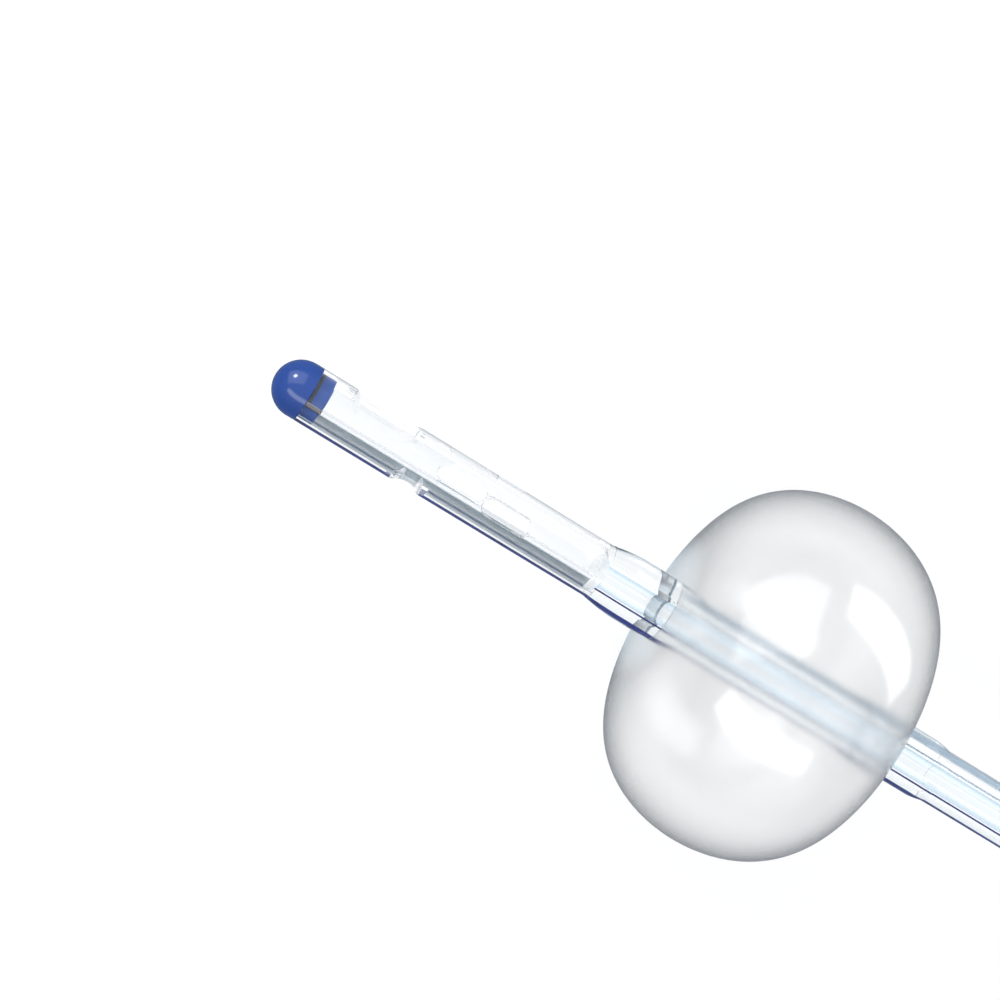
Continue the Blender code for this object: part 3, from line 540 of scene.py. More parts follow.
def tip_profile():
    """Round nose as a quarter circle, then shoulder, groove and spigot."""
    angle = np.linspace(0.0, math.pi / 2.0, 40)
    nose = np.stack((TUBE_RADIUS * np.sin(angle), DOME_LENGTH * (1.0 - np.cos(angle))), axis=1)
    spigot = EYE_BORE + FIT
    edge = 2.0 * SOFT_EDGE
    body = [
        (TUBE_RADIUS, SEAM - SOFT_EDGE), (TUBE_RADIUS - SOFT_EDGE, SEAM),
        (spigot - GROOVE_DEPTH, SEAM), (spigot - GROOVE_DEPTH, SEAM + GROOVE_WIDTH),
        (spigot, SEAM + GROOVE_WIDTH), (spigot, SEAM + SPIGOT_LENGTH - edge),
        (spigot - edge, SEAM + SPIGOT_LENGTH), (0.0, SEAM + SPIGOT_LENGTH),
    ]
    return np.vstack((nose, body))


def plate(name, near, far, wall, height):
    """A flat plate along the bore, square to the sideways direction, from its eight corners."""
    ends = np.array((near, far))[:, None]
    side = PARTITION_SIDE + wall / 2.0 * np.array((-1.0, 1.0, 1.0, -1.0))
    over = height / 2.0 * np.array((-1.0, -1.0, 1.0, 1.0))
    ring = on_straight(ends + 0.0 * side, side + 0.0 * ends, over + 0.0 * ends)
    faces = [(0, 1, 2, 3), (4, 5, 6, 7), (0, 1, 5, 4), (1, 2, 6, 5), (2, 3, 7, 6), (3, 0, 4, 7)]
    mesh = bpy.data.meshes.new(name)
    mesh.from_pydata(ring.reshape(-1, 3).tolist(), [], faces)
    clean(mesh)
    return into_scene(name, mesh)


tip = surface("tip_nose", turned(tip_profile(), 96))
slot_start = SEAM + PARTITION_SETBACK - FIT
tip.data.materials.append(blue_silicone)
cut(tip, plate("slot_tool", slot_start, SEAM + 0.004, PARTITION_WALL + 2.0 * FIT, 0.008))
dress(tip, blue_silicone, "blue_silicone", "catheter", "tip")


def face_places(mesh):
    """Station, side and over of the middle of every face."""
    away = values(mesh.polygons, "center", 3) - NOSE
    return away @ TAILWARD, away @ SIDEWAYS, away @ OVER


station, side, over = face_places(tip.data)
behind_seam = station > SEAM + FIT
in_groove = behind_seam & (station < SEAM + GROOVE_WIDTH + FIT) & (side > PARTITION_SIDE)
in_slot = (np.abs(side - PARTITION_SIDE) < PARTITION_WALL / 2.0 + 2.0 * FIT) & (station > SEAM)
# The spigot's faces behind the seam get the brighter blue, painted light.
for finish in (spigot_painted_light, groove_painted_shade):
    tip.data.materials.append(finish)
# The groove and the slot get near-black painted shade.
kind = np.where(in_groove | in_slot, 2, np.where(behind_seam, 1, 0))
tip.data.polygons.foreach_set("material_index", kind.astype(np.int32))
print("tip faces of each finish:", np.bincount(kind))

# %% [markdown]
# ## The clear tube
#
# The tube with the eyes and the two-passage shaft are bonded end to end. Clear silicone shows no
# joint, so one surface stands for both and for the two stops in the filling passage. Outer side and
# bore are one grid, whose rows run back along the outside and forward again through the bore. The
# eyes and the filling passage are then taken away.

# %% The cuffs that thicken the tube
BALLOON_MIDDLE = 0.0599
BALLOON_HALF = 0.01325
MEMBRANE = 0.0003
FRONT_CUFF_WALL = 0.00046
REAR_CUFF_WALL = 0.0003
CUFF_EDGE = 0.00006
FRONT_FACE = BALLOON_MIDDLE - BALLOON_HALF
REAR_FACE = BALLOON_MIDDLE + BALLOON_HALF
FRONT_CUFF = FRONT_FACE - 0.0078
REAR_CUFF = REAR_FACE + 0.0079
FRONT_TAPER = 0.0038
REAR_TAPER = 0.0018
INNER_FEATHER = 0.004
STEP = 0.00001


def cuff_wall(edge, taper, wall, face, side, count=14):
    """A cuff's stations and thickness: a thin step, a quarter wave up, even, then feathered inside."""
    t = np.linspace(0.0, 1.0, count)
    rows = edge - side * STEP, edge + side * taper * t, face + side * INNER_FEATHER * t
    rise = CUFF_EDGE + (wall - CUFF_EDGE) * np.sin(t * math.pi / 2.0)
    return np.array((np.hstack(rows), np.hstack((0.0, rise, wall * (1.0 - smooth_step(t))))))


front_cuff = cuff_wall(FRONT_CUFF, FRONT_TAPER, FRONT_CUFF_WALL, FRONT_FACE + MEMBRANE / 2.0, 1.0)
rear_cuff = cuff_wall(REAR_CUFF, REAR_TAPER, REAR_CUFF_WALL, REAR_FACE - MEMBRANE / 2.0, -1.0)
CUFF_STATIONS, CUFF_THICKNESS = np.hstack((front_cuff, rear_cuff[:, ::-1]))
print("cuffs from", round(FRONT_CUFF, 5), "and to", round(REAR_CUFF, 5))

# %% The tube's axis
JOINT = SEAM + 0.0351
BORE_TAPER = 0.0011
STRAIGHT_END = 0.09115
DROOP_RUN = 0.12
FLAT_RUN = 0.12
LIFT_RUN = 0.03
SLEEVE_RADIUS = 0.0044
SLEEVE_NOSE_LENGTH = 0.005
RIM_FOOT = 0.0446
RIM_RADIUS = 0.0071
SOCKET_DEPTH = 0.024
FUNNEL_PITCH = math.atan((RIM_RADIUS - SLEEVE_RADIUS) / (RIM_FOOT - SLEEVE_NOSE_LENGTH))

straight_end = on_straight(STRAIGHT_END)
LEVEL_Y = straight_end[1]
REST_HEIGHT = float(node_points("shaft")[:, 2].min())
funnel_x = straight_end[0] + DROOP_RUN + FLAT_RUN + LIFT_RUN
funnel_z = SLEEVE_RADIUS * math.cos(FUNNEL_PITCH) - SLEEVE_NOSE_LENGTH * math.sin(FUNNEL_PITCH)
FUNNEL_ENTRY = np.array((funnel_x, LEVEL_Y, REST_HEIGHT + funnel_z))
FUNNEL_WAY = np.array((math.cos(FUNNEL_PITCH), 0.0, math.sin(FUNNEL_PITCH)))


def bend(start, start_slope, end, end_slope, count):
    """A height that is a cubic of the distance, with the given slopes at its two ends."""
    run = end[0] - start[0]
    t = np.linspace(0.0, 1.0, count)[1:-1]
    height = (
        start[2] * (1.0 + 2.0 * t) * (1.0 - t) ** 2
        + start_slope * run * t * (1.0 - t) ** 2
        + end[2] * t * t * (3.0 - 2.0 * t)
        - end_slope * run * t * t * (1.0 - t)
    )
    return np.stack((start[0] + run * t, np.full(len(t), LEVEL_Y), height), axis=1)


def tube_path():
    """Points of the axis from the seam to the tube's end in the funnel, with a row at every step."""
    steps = [*np.linspace(JOINT - BORE_TAPER, JOINT, 13), *CUFF_STATIONS]
    stations = np.unique(np.concatenate((np.arange(SEAM, STRAIGHT_END, 0.0015), steps, [STRAIGHT_END])))
    straight = on_straight(stations)
    touch = np.array((straight_end[0] + DROOP_RUN, LEVEL_Y, REST_HEIGHT + TUBE_RADIUS))
    leave = touch + np.array((FLAT_RUN, 0.0, 0.0))
    droop = bend(straight_end, -math.tan(PITCH), touch, 0.0, 60)
    flat = np.linspace(touch, leave, 24)
    lift = bend(leave, 0.0, FUNNEL_ENTRY, math.tan(FUNNEL_PITCH), 20)
    inside = FUNNEL_ENTRY + np.linspace(0.0, SOCKET_DEPTH - 0.00004, 12)[:, None] * FUNNEL_WAY
    return np.vstack((straight, droop, flat, lift, inside))


PATH = tube_path()
steps_along = np.gradient(PATH, axis=0)
PATH_WAY = steps_along / np.linalg.norm(steps_along, axis=1)[:, None]
PATH_OVER = np.cross(PATH_WAY, SIDEWAYS)
PATH_OVER /= np.linalg.norm(PATH_OVER, axis=1)[:, None]
PATH_STATION = SEAM + np.concatenate(([0.0], np.cumsum(np.linalg.norm(np.diff(PATH, axis=0), axis=1))))
print("tube length", round(float(PATH_STATION[-1] - SEAM), 4), "over points up", PATH_OVER[0].round(3))


def swept(radius, side, columns, keep=slice(None)):
    """A ring of the given radius at each path point, moved sideways by the given offset."""
    points = PATH[keep]
    count = len(points)
    radius = np.broadcast_to(radius, count)[:, None, None]
    side = np.broadcast_to(side, count)[:, None, None]
    angle = np.linspace(0.0, 2.0 * math.pi, columns, endpoint=False)[None, :, None]
    across = side + radius * np.cos(angle)
    return points[:, None] + across * SIDEWAYS + radius * np.sin(angle) * PATH_OVER[keep][:, None]


# %% Outer side and bore in one closed grid
DRAIN_RADIUS = 0.0013
DRAIN_OFFSET = -0.0002
TUBE_COLUMNS = 120

into_taper = smooth_step((PATH_STATION - (JOINT - BORE_TAPER)) / BORE_TAPER)
bore_radius = EYE_BORE + (DRAIN_RADIUS - EYE_BORE) * into_taper
bore_offset = DRAIN_OFFSET * into_taper
outer_radius = TUBE_RADIUS + np.interp(PATH_STATION, CUFF_STATIONS, CUFF_THICKNESS)
outer_grid = swept(outer_radius, 0.0, TUBE_COLUMNS)
bore_grid = swept(bore_radius, bore_offset, TUBE_COLUMNS)
tube = surface("clear_tube", np.concatenate((outer_grid, bore_grid[::-1])), wrap_rows=True)
half_chord = math.sqrt(EYE_BORE ** 2 - PARTITION_SIDE ** 2)
partition_height = 2.0 * (half_chord + PARTITION_ROOT)
in_slot_end = SEAM + SPIGOT_LENGTH
partition_front = plate("partition_front", SEAM + FIT, in_slot_end, PARTITION_WALL, 2.0 * half_chord)
partition = plate("partition", in_slot_end + FIT, JOINT - BORE_TAPER, PARTITION_WALL, partition_height)
print("tube grid", outer_grid.shape)

# %% [markdown]
# ## The eyes
#
# Each eye is punched through one wall, and its rim is slightly rounded. A tool of the eye's outline,
# whose walls flare out just where they leave the tube, leaves that rounded rim. Its surface is a grid
# too: columns follow the outline, and rows climb from the bore to outside the tube.

# %% Eye tools
# Each eye: its distance behind the seam, length, width, turn about the axis, and the punch's stop.
EYES = (
    (0.00764, 0.0075, 0.0034, 6.0, 0.0003),
    (0.01294, 0.0031, 0.0036, 180.0, 0.0011),
    (0.01827, 0.0058, 0.0019, -80.0, 0.0015),
    (0.02322, 0.0056, 0.0019, 96.0, 0.0015),
)
RIM_ROUNDING = 0.00006
FLARE_ANGLE = math.radians(65.0)
OUTER_SPREAD = 0.0006
EYE_CORNER = 0.47


def eye_outline(length, width, corner, spread, columns=96):
    """A rounded rectangle's points, pushed outwards by spread, as (along, across)."""
    angle = np.linspace(0.0, 2.0 * math.pi, columns, endpoint=False)
    way = np.stack((np.cos(angle), np.sin(angle)), axis=1)
    reach = np.array((length / 2.0 - corner, width / 2.0 - corner))
    squareness = np.minimum(np.abs(way) ** 0.35 * 1.6, 1.0)
    return np.sign(way) * squareness * reach + way * (corner + spread)


def eye_tool(station, length, width, turn_degrees, punch_stop):
    """Rows of the eye's outline: straight up through the wall, then flaring as it meets the skin."""
    flare = np.linspace(0.0, 1.0, 7) * FLARE_ANGLE
    spread = np.concatenate(([0.0, 0.0], RIM_ROUNDING * (1.0 - np.cos(flare))))
    spread = np.append(spread, spread[-1] + OUTER_SPREAD)
    sink = np.concatenate(([1.0, 1.0], 1.0 - np.sin(flare) / math.sin(FLARE_ANGLE)))
    rows = []
    for index, amount in enumerate(spread):
        along, across = eye_outline(length, width, EYE_CORNER * min(length, width), amount).T
        skin = np.sqrt(np.maximum(TUBE_RADIUS ** 2 - across ** 2, (0.35 * TUBE_RADIUS) ** 2))
        if index == 0:
            height = np.full(len(along), punch_stop)
        elif index == len(spread) - 1:
            height = skin + OUTER_SPREAD / math.tan(FLARE_ANGLE) + 0.0002
        else:
            height = skin - RIM_ROUNDING * 0.8 * sink[index]
        rows.append(np.stack((along, across, height), axis=1))
    top = np.stack((along, across, np.full(len(along), 1.4 * TUBE_RADIUS)), axis=1)
    grid = np.array(rows + [top])
    caps = (0.0, 0.0, 1.0)
    grid = np.concatenate((grid[:1] * caps, grid, grid[-1:] * caps))
    turn_by = math.radians(turn_degrees)
    outwards = math.cos(turn_by) * SIDEWAYS + math.sin(turn_by) * OVER
    around_tube = math.cos(turn_by) * OVER - math.sin(turn_by) * SIDEWAYS
    in_place = grid[..., :1] * TAILWARD + grid[..., 1:2] * around_tube + grid[..., 2:] * outwards
    return on_straight(SEAM + station) + in_place


eye_tools = [surface(f"eye_tool_{i}", eye_tool(*eye)) for i, eye in enumerate(EYES)]
for tool in eye_tools:
    tool.data.materials.append(cut_silicone)
print("eye tools:", len(eye_tools))

# %% The filling passage and its notch
FILL_RADIUS = 0.00038
FILL_OFFSET = 0.0019
NOTCH_STATION = 0.04785
NOTCH_WIDTH = 0.0014
NOTCH_DEPTH = 0.0012
PORT_STATION = 0.01 + TUBE_RADIUS / math.tan(math.radians(30.0))

entry_station = PATH_STATION[-12]
in_passage = (PATH_STATION > NOTCH_STATION) & (PATH_STATION < entry_station + PORT_STATION)
passage_grid = swept(FILL_RADIUS, FILL_OFFSET, 32, keep=in_passage)
passage = surface("passage_tool", closed_ends(passage_grid))


def notch_tool():
    """A wedge with its edge down in the wall: a diamond drawn along the tube by the notch's width."""
    across = TUBE_RADIUS + NOTCH_DEPTH * np.array((-1.0, 0.0, 1.0, 0.0))
    over = NOTCH_DEPTH * np.array((0.0, 1.0, 0.0, -1.0))
    ends = NOTCH_STATION + NOTCH_WIDTH / 2.0 * np.array((-1.0, 1.0))
    return closed_ends(on_straight(ends[:, None], across, over))


notch = surface("notch_tool", notch_tool())
for piece, finish in ((passage, passage_painted_shade), (notch, clear_silicone), (tube, clear_silicone)):
    piece.data.materials.append(finish)
cut(tube, *eye_tools, passage, notch)
print("materials after cutting:", [material.name for material in tube.data.materials])


NEAR = 0.00001
LIP_SIDE = 0.0019


def channel_faces(mesh):
    """Marks the small channel between partition and wall, and the eye's walls that cross it, for
    painted shade.
    """
    station, side, over = face_places(mesh)
    from_axis = np.hypot(side, over)
    in_bore = from_axis < EYE_BORE + 3.0 * NEAR
    in_eye = (np.abs(np.abs(over) - EYES[1][2] / 2.0) < 20.0 * NEAR) & (side > -0.0023)
    beyond = side < PARTITION_SIDE - PARTITION_WALL / 2.0 + 2.0 * NEAR
    return (in_bore | in_eye) & beyond & (station > SEAM + NEAR) & (station < JOINT - 5.0 * NEAR)


def thin_lips(mesh):
    """Marks the bore's taper, and the skin of the thin lips along the first two eyes."""
    station, side, over = face_places(mesh)
    from_axis = np.hypot(side, over)
    marks = (station > JOINT - BORE_TAPER) & (station < JOINT) & (from_axis < EYE_BORE + 3.0 * NEAR)
    for eye, way in zip(EYES[:2], (1.0, -1.0)):
        beside = np.abs(station - SEAM - eye[0]) < eye[1] / 2.0
        marks |= beside & (side * way > LIP_SIDE) & (from_axis > TUBE_RADIUS - 2.0 * NEAR)
    return marks


def true_normals(mesh):
    """Exact normals for the tube's own cylinders, so that no cut disturbs their shading."""
    station, side, over = face_places(mesh)
    taper = np.clip((station - (JOINT - BORE_TAPER)) / BORE_TAPER, 0.0, 1.0)
    bore_side = DRAIN_OFFSET * taper
    bore_size = EYE_BORE + (DRAIN_RADIUS - EYE_BORE) * taper
    straight = (station < STRAIGHT_END - 0.002) & ((taper == 0.0) | (taper == 1.0))
    outer = straight & (np.abs(np.hypot(side, over) - TUBE_RADIUS) < NEAR)
    bore = straight & (np.abs(np.hypot(side - bore_side, over) - bore_size) < NEAR)
    sizes = values(mesh.polygons, "loop_total", kind=np.int32)
    corner = values(mesh.loops, "vertex_index", kind=np.int32)
    away = values(mesh.vertices, "co", 3)[corner] - NOSE
    sides, overs = away @ SIDEWAYS, away @ OVER
    on_outer, on_bore = np.repeat(outer, sizes), np.repeat(bore, sizes)
    sides = sides - np.repeat(bore_side, sizes) * on_bore
    length = np.maximum(np.hypot(sides, overs), 1e-9)
    sign = np.where(on_outer, 1.0, np.where(on_bore, -1.0, 0.0)) / length
    normals = (sides * sign)[:, None] * SIDEWAYS + (overs * sign)[:, None] * OVER
    mesh.normals_split_custom_set(normals.tolist())
    print("true normals on", int(outer.sum()), "outer and", int(bore.sum()), "bore faces")


dress(
    tube, clear_silicone, "clear_silicone", "catheter",
    "eye_tube", "shaft", "fill_plug_front", "fill_plug_rear",
)
for finish in (channel_painted_shade, shaft_silicone, bore_silicone):
    tube.data.materials.append(finish)
place_of = {finish: place for place, finish in enumerate(tube.data.materials)}
kind = values(tube.data.polygons, "material_index", kind=np.int32)
station, side, over = face_places(tube.data)
in_shaft = (kind == place_of[clear_silicone]) & (station > JOINT)
in_drain = (np.hypot(side - DRAIN_OFFSET, over) < DRAIN_RADIUS + 2.0 * NEAR) & (station < STRAIGHT_END)
# The small channel's faces get painted shade.
for marks, finish in (
    (in_shaft, shaft_silicone), (in_shaft & in_drain, bore_silicone),
    (channel_faces(tube.data), channel_painted_shade), (thin_lips(tube.data), cut_silicone),
):
    kind[marks] = place_of[finish]
tube.data.polygons.foreach_set("material_index", kind)
print("faces of each finish:", np.bincount(kind))
true_normals(tube.data)

# %% The partition
# The partition carries painted shade, a grey tint.
dress(partition, partition_painted_shade, "clear_silicone", "catheter")
# The partition's front inside the slot is painted shade, a near-black sheet.
dress(partition_front, groove_painted_shade, "clear_silicone", "catheter")

# %% [markdown]
# ## The X-ray line
#
# A thin navy line of barium-filled silicone runs in the wall, so that the tube shows on an X-ray. It
# stops at each side of the eye that is punched through it.

# %% X-ray lines
XRAY_RADIUS = 0.00031
XRAY_OFFSET = -0.00243
SHAFT_LINE_RADIUS = 0.00029
SHAFT_LINE_OFFSET = -0.00245
SHORT_OF_EYE = 0.0002


def straight_line(name, near, far):
    """A round thread in the wall between two stations of the straight end."""
    ring = turned([(XRAY_RADIUS, near), (XRAY_RADIUS, far)], 24, XRAY_OFFSET)
    return surface(name, closed_ends(ring))


cut_eye = EYES[1]
eye_front = SEAM + cut_eye[0] - cut_eye[1] / 2.0 - SHORT_OF_EYE
eye_back = SEAM + cut_eye[0] + cut_eye[1] / 2.0 + SHORT_OF_EYE
shaft_ring = swept(SHAFT_LINE_RADIUS, SHAFT_LINE_OFFSET, 24, keep=PATH_STATION > JOINT)
for line, node in (
    (straight_line("line_front", SEAM + SOFT_EDGE, eye_front), "xray_line_front"),
    (straight_line("line_middle", eye_back, JOINT - 4.0 * FIT), "xray_line_middle"),
    (surface("line_shaft", closed_ends(shaft_ring)), "xray_line"),
):
    dress(line, xray_blue, "xray_blue", "catheter", node)

# %% [markdown]
# ## The balloon
#
# The balloon is a thin sleeve bonded to the shaft at its two cuffs and filled through the notch. As it
# fills, it swells square at the shoulders and stays flat at its two faces. The bonded cuffs are part of
# the tube's surface above. One closed profile, outside and inside, turned about the axis gives the
# swollen membrane with its true thickness.

# %% The balloon
BALLOON_RADIUS = 0.01982
SHOULDER = 0.53


def crown(radius, half, start_radius, count=90):
    """Section of the filled balloon: radius times a power of the sine, from its front to its rear."""
    start = math.asin((start_radius / radius) ** (1.0 / SHOULDER))
    t = np.linspace(0.0, 1.0, count)
    angle = start + (math.pi - 2.0 * start) * (0.35 * t + 0.65 * smooth_step(t))
    return np.stack((radius * np.sin(angle) ** SHOULDER, BALLOON_MIDDLE - half * np.cos(angle)), axis=1)


def balloon_profile():
    """The outside from front to rear and back along the inside, each end let into its cuff."""
    front_foot = TUBE_RADIUS + FRONT_CUFF_WALL - FIT
    rear_foot = TUBE_RADIUS + REAR_CUFF_WALL - FIT
    outside = crown(BALLOON_RADIUS, BALLOON_HALF, front_foot)
    inside = crown(BALLOON_RADIUS - MEMBRANE, BALLOON_HALF - MEMBRANE, front_foot)
    rear = [(rear_foot, outside[-1, 1]), (rear_foot, inside[-1, 1])]
    return np.vstack((outside, rear, inside[::-1]))


balloon = surface("balloon_skin", turned(balloon_profile(), 160), wrap_rows=True)
station, side, over = face_places(balloon.data)
for finish in (balloon_silicone, bond_silicone):
    balloon.data.materials.append(finish)
at_foot = np.hypot(side, over) < TUBE_RADIUS + FRONT_CUFF_WALL
balloon.data.polygons.foreach_set("material_index", at_foot.astype(np.int32))
dress(balloon, balloon_silicone, "balloon_silicone", "catheter", "balloon")

# %% [markdown]
# ## The funnel
#
# The funnel is one moulding: a cone that grips the tube, with ribs for the fingers and a thick rim,
# and a side arm for filling the balloon, joined to it by a thin web. They are joined first and bored
# afterwards, so that the bores stay open.

# %% Turned pieces about any axis
def axis_at(origin, way):
    """Origin, direction, and the two directions across it: nearest to straight down, and level."""
    way = np.asarray(way, float)
    down = np.array((0.0, 0.0, -1.0)) + way * way[2]
    down /= np.linalg.norm(down)
    return np.asarray(origin, float), way, down, np.cross(way, down)


def turned_on(axis, profile, columns=72):
    """A grid from (radius, station) pairs carried round an axis."""
    origin, way, down, level = axis
    profile = np.asarray(profile, float)
    angle = np.linspace(0.0, 2.0 * math.pi, columns, endpoint=False)[None, :, None]
    radius, station = profile[:, 0][:, None, None], profile[:, 1][:, None, None]
    return origin + station * way + radius * (np.cos(angle) * down + np.sin(angle) * level)


def drawn_towards(start, middle, end, t):
    """A curve from start to end that is drawn towards the point between them."""
    return start * (1.0 - t) ** 2 + middle * 2.0 * t * (1.0 - t) + end * t * t


def rounded(profile, radius, closed=False, steps=5):
    """The profile with a small curve in place of each corner."""
    points = np.asarray(profile, float)
    before, after = np.roll(points, 1, axis=0), np.roll(points, -1, axis=0)
    t = np.linspace(0.0, 1.0, steps)[:, None]

    def near(corner, neighbour):
        way = neighbour - corner
        length = np.maximum(np.linalg.norm(way, axis=1, keepdims=True), 1e-9)
        return corner + way / length * np.minimum(radius, 0.45 * length)

    start, end = near(points, before)[:, None], near(points, after)[:, None]
    curve = drawn_towards(start, points[:, None], end, t)
    if closed:
        return curve.reshape(-1, 2)
    return np.vstack((points[:1], curve[1:-1].reshape(-1, 2), points[-1:]))


# %% The funnel's cone, arm and web
FUNNEL_LENGTH = 0.048
SLEEVE_LENGTH = 0.02
FLARE_RADIUS = 0.0061
FLARE_END = 0.042
RIM_START = 0.044
RIM_ROUND = 0.0006
RIB_COUNT = 4
RIB_HEIGHT = 0.00045
RIB_PITCH = 0.0028
WEB_REACH = 0.028
THROAT_RADIUS = 0.0021
MOUTH_RADIUS = 0.0051
ARM_ROOT = 0.01
ARM_ANGLE = math.radians(30.0)
ARM_LENGTH = 0.04
ARM_RADIUS = 0.0031
ARM_END_RADIUS = 0.0036
ARM_SOCKET = 0.009
ARM_BORE = 0.0009
ARM_TAPER = 0.003
BARREL_RADIUS = 0.0045
BARREL_END = 0.0104
BARREL_CHAMFER = 0.0008
STEM_PLUG_RADIUS = 0.0018

funnel_axis = axis_at(FUNNEL_ENTRY, FUNNEL_WAY)
arm_origin = FUNNEL_ENTRY + ARM_ROOT * FUNNEL_WAY
barrel_reach = ARM_LENGTH + BARREL_END - BARREL_CHAMFER
arm_height = arm_origin[2] - REST_HEIGHT
fall = math.asin(arm_height / math.hypot(barrel_reach, BARREL_RADIUS))
fall -= math.atan(BARREL_RADIUS / barrel_reach)
ARM_WAY = (math.cos(fall) * math.cos(ARM_ANGLE), math.cos(fall) * math.sin(ARM_ANGLE), -math.sin(fall))
arm_axis = axis_at(arm_origin, ARM_WAY)


def cone_profile():
    """Nose, sleeve, flare with its ribs, and the rim."""
    t = np.linspace(0.0, 1.0, 10) * math.pi / 2.0
    nose = np.stack((0.0036 + 0.0008 * np.sin(t), SLEEVE_NOSE_LENGTH * (1.0 - np.cos(t))), axis=1)
    station = np.linspace(SLEEVE_NOSE_LENGTH, FLARE_END, 150)[1:]
    radius = np.interp(station, (SLEEVE_LENGTH, FLARE_END), (SLEEVE_RADIUS, FLARE_RADIUS))
    tops = FLARE_END - (np.arange(RIB_COUNT) + 0.5) * RIB_PITCH
    rise = smooth_step((station[:, None] - tops + 0.7 * RIB_PITCH) / (0.2 * RIB_PITCH))
    drop = smooth_step((tops - station[:, None]) / (0.2 * RIB_PITCH))
    radius = radius + RIB_HEIGHT * (rise * drop).sum(axis=1)
    rim = rounded([
        (FLARE_RADIUS, FLARE_END), (RIM_RADIUS, RIM_START),
        (RIM_RADIUS, FUNNEL_LENGTH), (0.0, FUNNEL_LENGTH),
    ], RIM_ROUND)
    return np.vstack(([(0.0, 0.0)], nose, np.stack((radius, station), axis=1), rim[1:]))


def web_grid():
    """The web's outline with a hollow free edge, drawn out to its thickness."""
    t = np.linspace(0.0, 1.0, 24)[:, None]
    on_flare, hollow = np.array(((0.03, SLEEVE_RADIUS), (0.027, 0.0075)))
    on_arm = np.array((ARM_ROOT + WEB_REACH * math.cos(ARM_ANGLE), WEB_REACH * math.sin(ARM_ANGLE)))
    edge = drawn_towards(on_flare, hollow, on_arm, t)
    outline = np.vstack(([(ARM_ROOT, 0.0)], edge))
    middle = 0.6 * outline[:1] + 0.4 * edge[12:13]
    shrink = np.array((0.0, 0.93, 0.97, 1.0, 1.0, 0.97, 0.93, 0.0))[:, None, None]
    height = np.array((-1.2, -1.2, -1.1, -0.8, 0.8, 1.1, 1.2, 1.2)) * 0.001
    flat = middle + (outline - middle) * shrink
    origin, way, down, level = funnel_axis
    return origin + flat[..., :1] * way + flat[..., 1:] * level + height[:, None, None] * down


def bore(points):
    """A profile for a boring tool: from its pole at the outer end to its pole at the inner end."""
    return np.array([(0.0, points[0][1]), *points, (0.0, points[-1][1])])


funnel = surface("funnel_moulding", turned_on(funnel_axis, cone_profile(), 120))
arm = surface("arm", turned_on(arm_axis, rounded([
    (0.0, 0.0), (ARM_RADIUS, 0.0), (ARM_RADIUS, ARM_LENGTH - ARM_SOCKET - ARM_TAPER),
    (ARM_END_RADIUS, ARM_LENGTH - ARM_SOCKET), (ARM_END_RADIUS, ARM_LENGTH), (0.0, ARM_LENGTH),
], 0.0004)))
web = surface("web", web_grid())
cut(funnel, arm, web, operation="UNION")
slope = (MOUTH_RADIUS - THROAT_RADIUS) / (FUNNEL_LENGTH - SOCKET_DEPTH)
main_bore = surface("main_bore", turned_on(funnel_axis, bore([
    (MOUTH_RADIUS + 0.0006, FUNNEL_LENGTH + 0.0002),
    (MOUTH_RADIUS + 0.0002, FUNNEL_LENGTH - 0.0003),
    (MOUTH_RADIUS - 0.001 * slope, FUNNEL_LENGTH - 0.001), (THROAT_RADIUS, SOCKET_DEPTH),
    (TUBE_RADIUS + FIT, SOCKET_DEPTH), (TUBE_RADIUS + FIT, -0.001),
]), 120))
arm_bore = surface("arm_bore", turned_on(arm_axis, bore([
    (STEM_PLUG_RADIUS + FIT, ARM_LENGTH + 0.001), (STEM_PLUG_RADIUS + FIT, ARM_LENGTH - ARM_SOCKET),
    (ARM_BORE, ARM_LENGTH - ARM_SOCKET), (ARM_BORE, TUBE_RADIUS),
])))
funnel.data.materials.clear()
cut(funnel, main_bore, arm_bore)
funnel.data.materials.clear()
dress(funnel, funnel_silicone, "funnel_silicone", "catheter", "funnel")

# %% [markdown]
# ## The check valve
#
# A syringe's nose pushes the stem in and the soft ring leaves its seat; the spring shuts it again.
# Base and body are fixed. Stem and ring ride on the poppet. The spring, which is pressed together
# towards the base's floor as the poppet goes in, is a fixed piece here, like the base.

# %% Valve base and body
FLANGE = 0.0014
SKIRT_RADIUS = 0.0036
SKIRT_END = 0.0062
CHAMBER_RADIUS = 0.0028
SEAT = 0.0082
LUER_FLOOR = 0.0094
VALVE_MOUTH = 0.0166
HUB_RADIUS = 0.0033
BASE_BORE = 0.0008
SEAT_BORE = 0.0015
STEM_RADIUS = 0.001
POPPET_RADIUS = 0.0024
GAP = 0.00004
valve_axis = axis_at(arm_axis[0] + ARM_LENGTH * arm_axis[1], arm_axis[1])


def valve_piece(name, profile, finish, slot, body, node, corner=0.00015, closed=True):
    """A turned piece of the valve with softened corners, dressed and riding on its body."""
    piece = surface(name, turned_on(valve_axis, rounded(profile, corner, closed)), wrap_rows=closed)
    dress(piece, finish, slot, body, node)
    return piece


valve_piece("valve_base_shell", [
    (SKIRT_RADIUS, SKIRT_END), (SKIRT_RADIUS, FLANGE), (BARREL_RADIUS, FLANGE), (BARREL_RADIUS, GAP),
    (STEM_PLUG_RADIUS, GAP), (STEM_PLUG_RADIUS, -0.0081), (0.0014, -0.0085), (BASE_BORE, -0.0085),
    (BASE_BORE, FLANGE), (CHAMBER_RADIUS, FLANGE), (CHAMBER_RADIUS, SKIRT_END),
], valve_white, "valve_white", "catheter", "valve_base")


